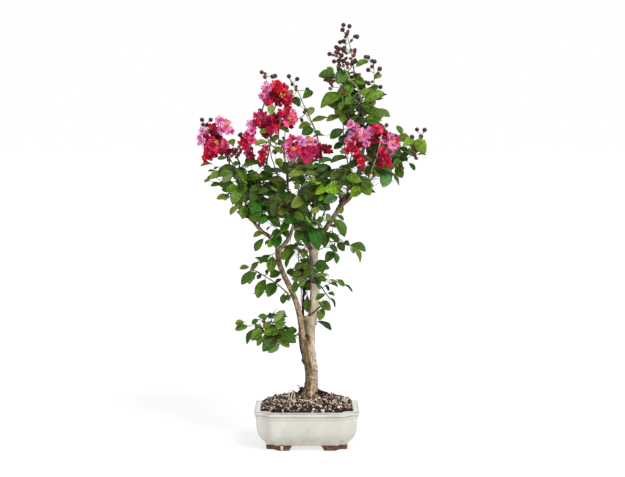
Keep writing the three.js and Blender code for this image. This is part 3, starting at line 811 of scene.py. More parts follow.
# pale fine roots that arch over the chips, and dark ones that lean on the flare
roots = Mesh()
for r, pts in [
    (0.72, [(287.8, 400.6), (288.1, 397.4), (289.2, 394.4), (291.0, 393.2), (292.8, 393.6), (294.2, 395.6), (294.7, 399.6)]),
    (0.60, [(289.2, 400.6), (289.4, 396.9), (290.6, 394.2)]),
    (0.60, [(290.6, 400.6), (292.1, 397.0), (292.4, 394.8), (291.4, 393.8)]),
    (0.60, [(287.8, 400.6), (290.3, 401.7), (293.1, 404.2), (294.7, 406.4)]),
    (0.60, [(303.1, 401.7), (306.0, 403.9), (309.6, 403.9), (312.4, 406.7)]),
    (0.55, [(315.5, 406.8), (317.8, 407.8), (320.4, 408.4)]),
]:
    line = spline([(*on_soil(a, b, 1.6),) for a, b in pts], 1.5)[:, :3]
    s_ = np.linspace(0, 1, len(line))
    line = line + np.outer(np.sin(np.pi * s_) ** 0.6, [0, -0.6, 4.6])
    tube(roots, line, np.interp(s_, [0, 0.15, 0.85, 1], [0.5, 1, 1, 0.4]) * r * 1.15, 6, 0)
for a, b in [((297.3, 385.2), (303.5, 390.5)), ((297.9, 388.2), (303.0, 391.5))]:
    line = spline([(*at(b[0], b[1], -7),), (*at((a[0] + b[0]) / 2, (a[1] + b[1]) / 2 - 0.3, -9),), (*at(a[0], a[1], -10),)], 1.2)[:, :3]
    tube(roots, line, np.linspace(1.3, 0.7, len(line)), 6, 1)
ob = roots.build("surface_roots", [principled("pale_root", lin("#dccdb9"), 0.7, 0.3), principled("dark_root", lin("#1d1712"), 0.8, 0.2)])
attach(ob, "root")
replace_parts(ob, "soil")

# ------------------------------------------------------------------ trunk and boughs
# centre lines [x, y, z, radius], root to tip, as in the solids they stand for
LIMBS = {
    "trunk": [(-7.6, 1, 97, 20.5), (-7.0, 1, 103, 19.0), (-5.6, 1, 109, 16.2), (-3.2, 0.8, 114, 13.6), (-2.8, 0.5, 120, 13.0), (-2.5, 0, 136, 12.9), (-3.2, 0, 155, 13.5), (-6.5, 0, 172, 14.2), (-9.0, 0, 192, 14.2), (-10.0, 0, 204, 14.0)],
    "right_stem": [(-5.0, 2, 186, 8.8), (-4.2, 3, 206, 8.8), (-2.7, 4, 235, 8.8), (0.2, 4, 254, 9.3), (4.0, 4, 280, 9.6), (4.6, 4, 310, 9.0), (4.0, 4, 345, 8.2), (2.6, 4, 372, 8.9), (2.0, 4, 392, 8.0), (1.0, 4, 400, 6.5)],
    "left_bough": [(-13.0, -1, 170, 5.5), (-15.6, -3, 186, 7.4), (-18.6, -5, 206, 7.4), (-21.7, -6, 236, 6.2), (-28.0, -6, 268, 5.6), (-38.0, -6, 297, 5.3), (-54.6, -7, 333, 5.2), (-64.5, -8, 360, 5.4), (-66.0, -8, 384, 5.3), (-66.5, -8.5, 390, 4.4)],
    "left_bough_outer_branch": [(-65.5, -8, 376, 4.6), (-68, -10, 391, 4.2), (-79, -11, 406, 4.0), (-97, -14, 418, 3.6), (-114, -18, 440, 3.0), (-122, -20, 452, 2.7), (-129, -20, 466, 2.4)],
    "left_bough_inner_branch": [(-64.5, -7, 378, 4.4), (-55, -7, 391, 4.3), (-46.8, -6, 401, 4.2), (-39, -4, 420, 3.2), (-35, -2, 440, 2.8), (-36, -1, 458, 2.5)],
    "right_upper_limb": [(3, 3, 380, 7.4), (12, -1, 400, 6.2), (26.8, -4, 425, 5.2), (43, -5, 448, 5.3), (54, -5, 466, 5.6), (62, -5, 477, 7.6), (69, -5, 483, 7.0), (75, -5, 489, 4.8), (80, -4, 497, 4.0)],
    "inner_left_limb": [(2, 5, 376, 6.2), (-8.6, 7, 391, 5.4), (-20, 7, 404, 4.2), (-30, 8, 424, 3.4), (-35, 8, 440, 2.6)],
    "back_limb": [(2, 6, 374, 5.6), (3, 24, 396, 4.6), (-2, 46, 418, 3.9), (-8, 66, 440, 3.2), (-13, 74, 452, 2.8)],
    "front_limb": [(1, 4, 380, 5.0), (-3, -16, 401, 4.0), (-8, -36, 418, 3.4), (-14, -56, 436, 2.9), (-18, -62, 446, 2.5)],
}
STUBS = {
    "cut_stub_crotch": [(-8.6, 6, 391, 5.5), (*at(304.0, 224.5, -6), 7.0), (*at(304.2, 222.6, -16), 7.2), (*at(304.3, 222.0, -19), 6.4)],
    "cut_stub_knob": [(*at(345, 200.0, -5), 5.0), (*at(342.0, 196.8, -9), 5.2), (*at(340.4, 195.0, -12), 5.0)],
    "knob_lump": [(*at(343.0, 203.2, -7), 4.5), (*at(341.5, 201.0, -10), 5.4), (*at(340.8, 199.6, -11), 3.6)],
    "knob_shoot": [(*at(347.2, 198.0, -5), 3.4), (*at(347.4, 192.0, -5), 2.5), (*at(347.7, 188.0, -5), 2.4), (*at(349.4, 183.6, -4), 1.9)],
    "stub_low_left": [(*at(303.6, 334.0, -6), 3.0), (*at(299.6, 334.0, -9), 2.4), (*at(297.6, 333.2, -10), 1.8)],
    "web_in_fork": [(*at(300.5, 320.0, -3), 4.2), (*at(304.5, 318.0, -1), 4.0), (*at(309.5, 317.0, 2), 4.6)],
    "groove_in_fork": [(*at(305.6, 319, 2), 4.2), (*at(306.0, 323, 2.5), 4.2), (*at(306.8, 327, 2), 4.4), (*at(307.2, 334, 1), 5.0)],
    "left_edge_stub": [(*at(304.5, 363.0, 2), 5.0), (*at(302.6, 360.6, 0), 2.8), (*at(301.2, 359.6, -1), 1.5)],
    "root_left": [(*at(306.5, 391.0, -4), 8.0), (*at(302.4, 394.0, -10), 5.6), (*at(299.0, 397.5, -15), 4.0)],
    "root_right": [(*at(313.0, 388.0, -2), 8.0), (*at(316.0, 393.0, -6), 5.0), (*at(319.0, 397.5, -10), 3.0)],
    "root_front": [(*at(309.6, 390.0, -10), 7.0), (*at(309.9, 395.5, -18), 5.0), (*at(310.2, 400.0, -26), 2.8)],
    "root_back": [(-6, 8, 106, 8.0), (-4, 18, 101, 5.5), (0, 27, 96, 3.0)],
}


def limb_tube(mesh, pts, sides, level=False, flatten=1.0, seed=1):
    path = spline(pts, 2.0)
    c, r = path[:, :3], path[:, 3]
    tan, s, u = frames_along(c)
    if level:
        s = np.tile([1.0, 0, 0], (len(c), 1))
        u = np.tile([0, 1.0, 0], (len(c), 1))
    a = 2 * np.pi * np.arange(sides) / sides
    t = np.linspace(0, 1, len(c))[:, None]
    k = 1 + 0.045 * (0.5 * np.sin(2 * a + 6 * t + seed) + 0.3 * np.sin(3 * a - 9 * t + 2 * seed) + 0.2 * np.sin(5 * a + 13 * t + 3 * seed))
    if level:
        k = k + 0.20 * np.maximum(0, 1 - t * 7) * (0.5 + 0.5 * np.cos(3 * a + 0.8))
    ring = c[:, None] + (r[:, None] * k)[:, :, None] * (np.cos(a)[None, :, None] * s[:, None] + flatten * np.sin(a)[None, :, None] * u[:, None])
    v = ring.reshape(-1, 3)
    n = len(v)
    v = np.vstack([v, c[0], c[-1] + tan[-1] * r[-1] * 0.35])
    kk = np.arange(sides)
    kn = (kk + 1) % sides
    lastr = (len(c) - 1) * sides
    mesh.add(v, grid_quads(len(c), sides, True), np.vstack([np.stack([kn, kk, np.full(sides, n)], 1), np.stack([lastr + kk, lastr + kn, np.full(sides, n + 1)], 1)]))
    return path


wood = Mesh()
WOOD_LINES = []  # (limb number, x, y, z, radius, length along)
for i, (name, pts) in enumerate(LIMBS.items()):
    path = limb_tube(wood, pts, 28 if i < 3 else 20, level=name == "trunk", flatten=0.9 if name == "trunk" else 1.0, seed=i + 1)
    s = np.concatenate([[0], np.cumsum(np.linalg.norm(np.diff(path[:, :3], axis=0), axis=1))])
    WOOD_LINES.append(np.column_stack([np.full(len(path), i), path, s]))
for i, (name, pts) in enumerate(STUBS.items()):
    limb_tube(wood, pts, 18, seed=20 + i)
lines = np.vstack(WOOD_LINES)

v, q, t, _ = wood.arrays()
raw = make_object("raw_wood", put(v), q, t, None, [])
mod = raw.modifiers.new("skin", "REMESH")
mod.mode = "VOXEL"
mod.voxel_size = 0.00088
mod.use_smooth_shade = True
dg = bpy.context.evaluated_depsgraph_get()
skin = bpy.data.meshes.new_from_object(raw.evaluated_get(dg))
bpy.data.objects.remove(raw)
n = len(skin.vertices)
co = np.zeros(n * 3, np.float32)
skin.vertices.foreach_get("co", co)
co = co.reshape(-1, 3).astype(float) * 1000 - OFF
e = np.zeros(len(skin.edges) * 2, np.int32)
skin.edges.foreach_get("vertices", e)
e = e.reshape(-1, 2)
deg = np.bincount(e.ravel(), minlength=n)[:, None]


def relax(p, rounds, amount):
    for _ in range(rounds):
        acc = np.zeros_like(p)
        for k in range(3):
            acc[:, k] = np.bincount(e[:, 0], p[e[:, 1], k], n) + np.bincount(e[:, 1], p[e[:, 0], k], n)
        p = p + (acc / np.maximum(deg, 1) - p) * (amount if np.isscalar(amount) else amount[:, None])
    return p


def nearest_line(p):
    """Row in lines of the centre-line sample whose skin each point lies nearest to."""
    idx = np.zeros(len(p), int)
    for a in range(0, len(p), 4000):
        d = np.linalg.norm(p[a : a + 4000, None] - lines[None, :, 1:4], axis=2) - lines[None, :, 4]
        idx[a : a + 4000] = d.argmin(1)
    return idx


near = nearest_line(co)
# crotches and stub roots are smoothed more than plain stretches
limb_no = lines[near, 0].astype(int)
edge_mix = np.zeros(n)
diff = limb_no[e[:, 0]] != limb_no[e[:, 1]]
np.add.at(edge_mix, e[diff].ravel(), 1.0)
edge_mix = np.minimum(edge_mix, 1)
for _ in range(7):
    acc = np.bincount(e[:, 0], edge_mix[e[:, 1]], n) + np.bincount(e[:, 1], edge_mix[e[:, 0]], n)
    edge_mix = np.maximum(edge_mix, 0.92 * acc / np.maximum(deg[:, 0], 1))
co = relax(co, 3, 0.5)
co = relax(co, 14, 0.5 * np.clip(edge_mix * 1.6, 0, 1))


def normals_of(p):
    skin.vertices.foreach_set("co", put(p).astype(np.float32).ravel())
    skin.update()
    nn = np.zeros(n * 3, np.float32)
    skin.vertices.foreach_get("normal", nn)
    return nn.reshape(-1, 3).astype(float)


nrm = normals_of(co)
line = lines[near]
rad = line[:, 4]
off = co - line[:, 1:4]
theta = np.arctan2(off[:, 1], off[:, 0])
along = line[:, 5] + 137.0 * limb_no
# bark coordinates: round the limb (mm) and along it (mm), closed at the seam by using cos and sin
bc = np.column_stack([np.cos(theta) * rad, np.sin(theta) * rad, along])
k = np.clip(rad / 12.0, 0.25, 1.15)
twist = theta + along * 0.006
flute = 0.55 * np.sin(3 * twist + 0.8 + 0.9 * fbm(bc, (40, 40, 60), 5, 2)) + 0.35 * np.sin(5 * twist + along * 0.02) + 0.25 * np.sin(2 * twist - along * 0.03)
relief = 0.85 * k * flute
relief = relief + 0.9 * k * fbm(bc, (11, 11, 26), 12, 4)
relief = relief + 0.34 * fbm(bc, (2.6, 2.6, 15), 31, 3)  # fine ridges along the grain
flake = fbm(bc, (7.5, 7.5, 17), 77, 4)
plate = 1 / (1 + np.exp(-(flake - 0.05) / 0.035))
relief = relief + 0.42 * np.clip(k + 0.2, 0, 1) * (plate - 0.5)
relief = relief + 0.16 * fbm(co, 1.7, 90, 2)
# collars of lost shoots
SCARS = [((-14, -11, 158), 6.5, 1.3), ((8, -8, 250), 5.5, 1.2), ((-8, -9, 226), 4.5, 1.0), ((10, -4, 176), 5.5, 1.1), ((-30, -11, 268), 4.0, 0.9), ((-47, -11, 318), 4.2, 1.0), ((5, -6, 304), 5.0, 1.2), ((7, -5, 352), 4.5, 1.0), ((-3, -12, 130), 6.0, 1.1), ((36, -9, 437), 4.2, 1.0), ((-86, -16, 411), 3.4, 0.8), ((-12, 12, 146), 6, 1.2), ((9, 10, 216), 5, 1.0), ((11, 10, 300), 5, 1.1), ((-50, 0, 326), 4, 0.9), (tuple(at(315, 355.5, -8)), 2.8, 0.5), (tuple(at(312.5, 376, -12)), 2.8, 0.5), (tuple(at(307.8, 369, -13)), 2.4, 0.4), (tuple(at(314.8, 348, -7)), 2.4, 0.4), (tuple(at(315.5, 318, -2)), 2.6, 0.4)]
scar = np.zeros(n)
for c, r, h in SCARS:
    d = np.linalg.norm(co - np.array(c, float), axis=1) / r
    relief = relief + h * (np.exp(-((d * 1.5) ** 2)) - 0.75 * np.exp(-((d * 3.6) ** 2)))
    scar = np.maximum(scar, np.exp(-((d * 2.4) ** 2)))
# the groove that runs down from the fork between the two halves of the trunk
for points, depth_, width_ in [
    ([at(306.6, 337, -13), at(306.4, 346, -14), at(307.0, 356, -14), at(308.6, 364, -14), at(310.6, 373, -13)], 2.6, 3.4),
    ([at(313.6, 366, -11), at(313.8, 378, -11), at(312.6, 388, -12)], 1.2, 2.6),
    ([(-2, 13, 205), (-4, 13, 180), (-3, 12.5, 150), (-2, 12, 128)], 2.2, 3.4),
]:
    pth = spline([(*a,) for a in points], 2.0)
    dd_ = np.full(n, 1e9)
    for a in pth:
        dd_ = np.minimum(dd_, np.linalg.norm((co - a) * [1, 0.5, 0.7], axis=1))
    relief = relief - depth_ * np.exp(-((dd_ / width_) ** 2))
co = co + nrm * relief[:, None]
nrm = normals_of(co)
# broad colour zones of the bark, kept as smooth fields: 0 dark olive bark in painted shade .. 1 pale bark in painted
# light; side, how the skin faces the key light, paints this light and shade into them
side = nrm @ unit(np.array([0.93, -0.30, 0.12]))
zone = 0.5 + 0.46 * side + 0.22 * fbm(bc, (16, 16, 45), 55, 3)
# the left half of the trunk is olive brown up to the groove, the right half bleached
split = np.interp(co[:, 2], [100, 130, 160, 175, 200], [-8, -2.5, -6.5, -9.5, -11.0])
zone = zone + np.where(limb_no == 0, 0.20 * np.tanh((co[:, 0] - split) / 2.2) - 0.21, 0)
zone = zone - np.where(limb_no == 2, 0.15, 0)
# the right stem's pale bark, with painted shade on its side that faces away from the key light
zone = zone + np.where(limb_no == 1, 0.58 - 0.3 * np.clip(-side, 0, 1), 0)
zone = zone - 0.16 * np.clip((118 - co[:, 2]) / 6.0, 0, 1)
# pinkish bark low on the trunk and on two boughs; the right stem's term puts pinkish brown painted shade on its side
# away from the key light
pink = np.clip(1.25 - np.abs(co[:, 2] - 140) / 32, 0, 1) * (limb_no == 0) * np.clip(0.5 + (co[:, 0] + 2.0) / 5.0, 0, 1) * np.clip(1.5 - np.abs(co[:, 0] - 3.5) / 6.0, 0, 1) + 0.5 * (limb_no == 5) + 0.35 * (limb_no == 2) + 0.3 * (limb_no == 1) * np.clip(0.3 - side * 1.5, 0, 1)
dark = np.zeros(n)
olive = np.zeros(n)


def streak_field(points, width, strength):
    """How much each point of the skin lies in a streak that runs along the bark through the given points."""
    p = spline([(*a,) for a in points], 2.0)[:, :3]
    d = np.full(n, 1e9)
    for a in p:
        d = np.minimum(d, np.linalg.norm((co - a) * [1, 0.55, 0.8], axis=1))
    return strength * np.clip(1.25 - d / width + 0.35 * fbm(bc, (5, 5, 12), 66, 3), 0, 1)


def dark_patch(points, width, strength):
    global dark
    dark = np.maximum(dark, streak_field(points, width, strength))


def olive_patch(points, width, strength):
    global olive
    olive = np.maximum(olive, streak_field(points, width, strength))


dark_patch([at(300.0, 342, -6), at(300.7, 348, -6), at(301.6, 354, -6), at(303.0, 361, -6)], 3.8, 1.3)
dark_patch([at(309.0, 364, -13), at(310.6, 368, -13), at(311.0, 373, -13)], 2.2, 0.6)
olive_patch([at(305.2, 342, -14), at(305.8, 350, -14), at(307.0, 358, -14), at(309.2, 365, -13), at(310.8, 373, -13)], 5.2, 1.0)
olive_patch([at(306.0, 373, -12), at(306.5, 380, -12), at(306.0, 387, -13)], 5.0, 0.6)
olive_patch([at(302.5, 386, -10), at(301.0, 389, -12)], 5.0, 1.0)
# painted shade: the shaded left side of the right stem below the crown, and its shaded left edge lower down
dark_patch([at(309.4, 244, -4), at(309.6, 252, -4), at(310.6, 260, -4), at(310.6, 268, -4)], 4.2, 1.0)
dark_patch([at(309.6, 284, -3), at(310.4, 296, -3)], 2.6, 0.6)
dark_patch([at(306.4, 322, -1), at(306.8, 328, -3), at(307.0, 333, -5)], 2.6, 0.7)
olive_patch([at(306.2, 319, -1), at(306.8, 328, -3), at(307.2, 334, -6)], 5.4, 1.1)
dark_patch([at(338.6, 203.5, -12), at(343.0, 200.0, -13), at(347.5, 196.0, -10)], 8.5, 1.15)
# painted shade on the left and under side of the right upper limb
dark_patch([at(321.5, 228.0, -6), at(326.0, 221.0, -6), at(332.0, 211.0, -8), at(337.0, 204.0, -9)], 4.4, 0.95)
dark_patch([at(301.5, 388, -12), at(300.0, 393, -14)], 4.5, 0.8)
dark_patch([at(279.5, 268, -6), at(284.5, 281, -6), at(288.5, 292, -6)], 2.4, 0.65)
dark_patch([at(247.5, 211.5, -20), at(251.0, 218.0, -19), at(254.5, 223.0, -18)], 4.6, 1.15)
dark = np.maximum(dark, 0.75 * np.clip((101.5 - co[:, 2]) / 3.0, 0, 1))
# painted light: the right stem's cream bark, brightening to near white on the side that faces the key light
warm = np.where(limb_no == 1, 0.5, 0.0) * np.clip(0.62 + 0.7 * side, 0, 1) * np.clip((co[:, 2] - 196) / 30.0, 0, 1)
pale = np.zeros(n)
for c, r in [(at(304.3, 222.0, -20), 8.0), (at(340.2, 194.6, -13), 5.0), (at(310.0, 339.0, -9), 4.4), (at(305.4, 338.4, -9), 2.6)]:
    pale = np.maximum(pale, np.clip(1.3 - np.linalg.norm(co - c, axis=1) / r, 0, 1))
for name, val in (("zone", zone), ("pink", pink), ("dark", dark), ("olive", olive), ("warm", warm), ("pale", pale), ("plate", plate), ("scar", scar)):
    a = skin.attributes.new(name, "FLOAT", "POINT")
    a.data.foreach_set("value", val.astype(np.float32))

bark = principled("bark", None, 0.72, 0.3)
g = Nodes(bark)
vec = g.coords()
streak = g.coords((330, 330, 42))
n_streak = g.noise(streak, 1.0, 6, 0.62, 0.5)
n_mottle = g.noise(g.coords((1, 1, 0.55)), 95.0, 6, 0.6, 1.2)
n_fine = g.noise(vec, 430.0, 4, 0.6)
zone_n = g.attribute("zone").outputs["Fac"]
# zone brings its painted light and shade, taken from side, into the bark's colour here
zz = g.maths("ADD", zone_n, g.maths("MULTIPLY", g.maths("SUBTRACT", n_streak, 0.5), 0.75))
zz = g.maths("ADD", zz, g.maths("MULTIPLY", g.maths("SUBTRACT", n_mottle, 0.5), 0.9))
col = g.ramp(zz, [(0.02, lin("#3b2e1a")), (0.22, lin("#5d4a2b")), (0.42, lin("#7f6740")), (0.60, lin("#a98f6a")), (0.78, lin("#ccbea5")), (1.0, lin("#e0d8cb"))])
pk = g.maths("MULTIPLY", g.attribute("pink").outputs["Fac"], 0.85, clamp=True)
col = g.mix(pk, col, g.ramp(n_mottle, [(0.3, lin("#6f4e40")), (0.55, lin("#a67a66")), (0.75, lin("#c6a08c"))]))
# thin plates lifting off: their rims are darker, the skin under them paler
pl = g.attribute("plate").outputs["Fac"]
col = g.mix(g.maths("MULTIPLY", pl, 0.22), col, lin("#6f5a41"))
rim_f = g.ramp(pl, [(0.25, (0, 0, 0)), (0.5, (1, 1, 1)), (0.75, (0, 0, 0))])
col = g.mix(g.maths("MULTIPLY", rim_f, 0.28), col, lin("#4a3826"))
speck = g.ramp(n_fine, [(0.36, (1, 1, 1)), (0.5, (0, 0, 0))])
speck2 = g.ramp(g.noise(vec, 1150.0, 3, 0.5), [(0.38, (1, 1, 1)), (0.47, (0, 0, 0))])
col = g.mix(g.maths("MULTIPLY", speck, 0.38), col, lin("#54432f"))
col = g.mix(g.maths("MULTIPLY", speck2, 0.45), col, lin("#3f3223"))
fleck = g.ramp(g.noise(g.coords((1, 1, 0.7)), 250.0, 3, 0.5, 0.4), [(0.53, (0, 0, 0)), (0.60, (1, 1, 1))])
col = g.mix(g.maths("MULTIPLY", fleck, g.ramp(zone_n, [(0.2, (0.25, 0.25, 0.25)), (0.7, (0.6, 0.6, 0.6))])), col, lin("#ddcfb6"))
fleck2 = g.ramp(g.noise(g.coords((1, 1, 0.6)), 210.0, 3, 0.5, 0.4), [(0.38, (1, 1, 1)), (0.45, (0, 0, 0))])
col = g.mix(g.maths("MULTIPLY", fleck2, 0.48), col, lin("#553f25"))
col = g.mix(g.maths("MULTIPLY", g.attribute("scar").outputs["Fac"], 0.6), col, lin("#4b392a"))
col = g.mix(g.maths("MULTIPLY", g.attribute("olive").outputs["Fac"], 0.78, clamp=True), col, g.ramp(n_mottle, [(0.3, lin("#3d3119")), (0.55, lin("#66532c")), (0.75, lin("#8a7444"))]))
# painted light: the right stem's cream bark, near white on its side that faces the key light
col = g.mix(g.attribute("warm").outputs["Fac"], col, g.ramp(n_mottle, [(0.3, lin("#96733f")), (0.5, lin("#d6bf96")), (0.68, lin("#f8f0df"))]))
# near black streaks: dark bark, and painted shade where the dark patches lie on shaded sides
dk = g.maths("MULTIPLY", g.attribute("dark").outputs["Fac"], g.ramp(n_mottle, [(0.2, (1, 1, 1)), (0.8, (0.72, 0.72, 0.72))]))
col = g.mix(g.maths("MULTIPLY", dk, 0.93, clamp=True), col, g.ramp(n_streak, [(0.35, lin("#120c08")), (0.65, lin("#33261a"))]))
col = g.mix(g.maths("MULTIPLY", g.attribute("pale").outputs["Fac"], 0.8, clamp=True), col, g.ramp(n_mottle, [(0.3, lin("#a07c68")), (0.6, lin("#d5b9a2"))]))
g.link(col, g.out.inputs["Base Color"])
h = g.maths("ADD", g.maths("MULTIPLY", n_fine, 0.5), n_streak)
g.bump(h, 0.55, 0.0009)
skin.materials.clear()
skin.materials.append(bark)
skin.polygons.foreach_set("material_index", np.zeros(len(skin.polygons), np.int32))
skin.polygons.foreach_set("use_smooth", np.ones(len(skin.polygons), bool))
trunk = bpy.data.objects.new("trunk_and_boughs", skin)
scene.collection.objects.link(trunk)
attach(trunk, "root")
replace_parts(trunk, *LIMBS.keys())

# the black stem that stands in the fork: dark bark, its near black colour partly painted shade from the fork
inner = Mesh()
p = spline([(-13.0, 3, 198, 3.0), (-14.4, 5, 207, 2.7), (*at(302.9, 314, 8), 2.6), (*at(303.1, 306, 9), 2.5), (*at(303.2, 299, 9.5), 2.5), (*at(303.6, 295, 10), 2.8), (*at(304.6, 293, 10), 3.5), (*at(303.9, 290.6, 10.5), 2.7), (*at(303.5, 286, 11), 2.4), (*at(303.3, 276, 12), 2.1), (-18.2, 12, 338, 1.7)], 1.6)
tan, s, u = frames_along(p[:, :3])
a = 2 * np.pi * np.arange(14) / 14
ring = p[:, None, :3] + p[:, 3, None, None] * (np.cos(a)[None, :, None] * s[:, None] + np.sin(a)[None, :, None] * u[:, None])
flatr = ring.reshape(-1, 3)
outw = unit(flatr - np.repeat(p[:, :3], 14, 0))
flatr = flatr + outw * (0.32 * fbm(flatr, (3.2, 3.2, 7.0), 71, 3) + 0.2 * fbm(flatr, 1.6, 72, 2))[:, None]
inner.add(np.vstack([flatr, p[0, :3], p[-1, :3] + [0, 0, 1.0]]), grid_quads(len(p), 14, True), np.vstack([np.stack([(np.arange(14) + 1) % 14, np.arange(14), np.full(14, len(flatr))], 1), np.stack([len(flatr) - 14 + np.arange(14), len(flatr) - 14 + (np.arange(14) + 1) % 14, np.full(14, len(flatr) + 1)], 1)]))
tube(inner, np.array([at(303.8, 290.6, 10.5), at(306.0, 289.9, 10), at(308.4, 290.0, 8), at(310.4, 290.4, 5)]), [1.2, 0.9, 0.8, 0.8], 8)
tube(inner, np.array([at(308.6, 315.8, -4), at(312.5, 313.2, -9), at(316.0, 310.6, -10), at(320.3, 307.2, -12)]), [1.7, 1.4, 1.2, 0.9], 8)
# near black bark, partly painted shade
dark_bark = principled("dark_bark", None, 0.7, 0.3)
g = Nodes(dark_bark)
g.link(g.ramp(g.noise(g.coords((1, 1, 0.4)), 420.0, 5, 0.65), [(0.3, lin("#0f0b09")), (0.55, lin("#241a14")), (0.78, lin("#4a3c30"))]), g.out.inputs["Base Color"])
g.bump(g.noise(g.coords((1, 1, 0.3)), 700.0, 4), 0.5, 0.0006)
ob = inner.build("dark_stem_in_fork", [dark_bark])
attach(ob, "root")
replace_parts(ob, "dark_inner_stem")
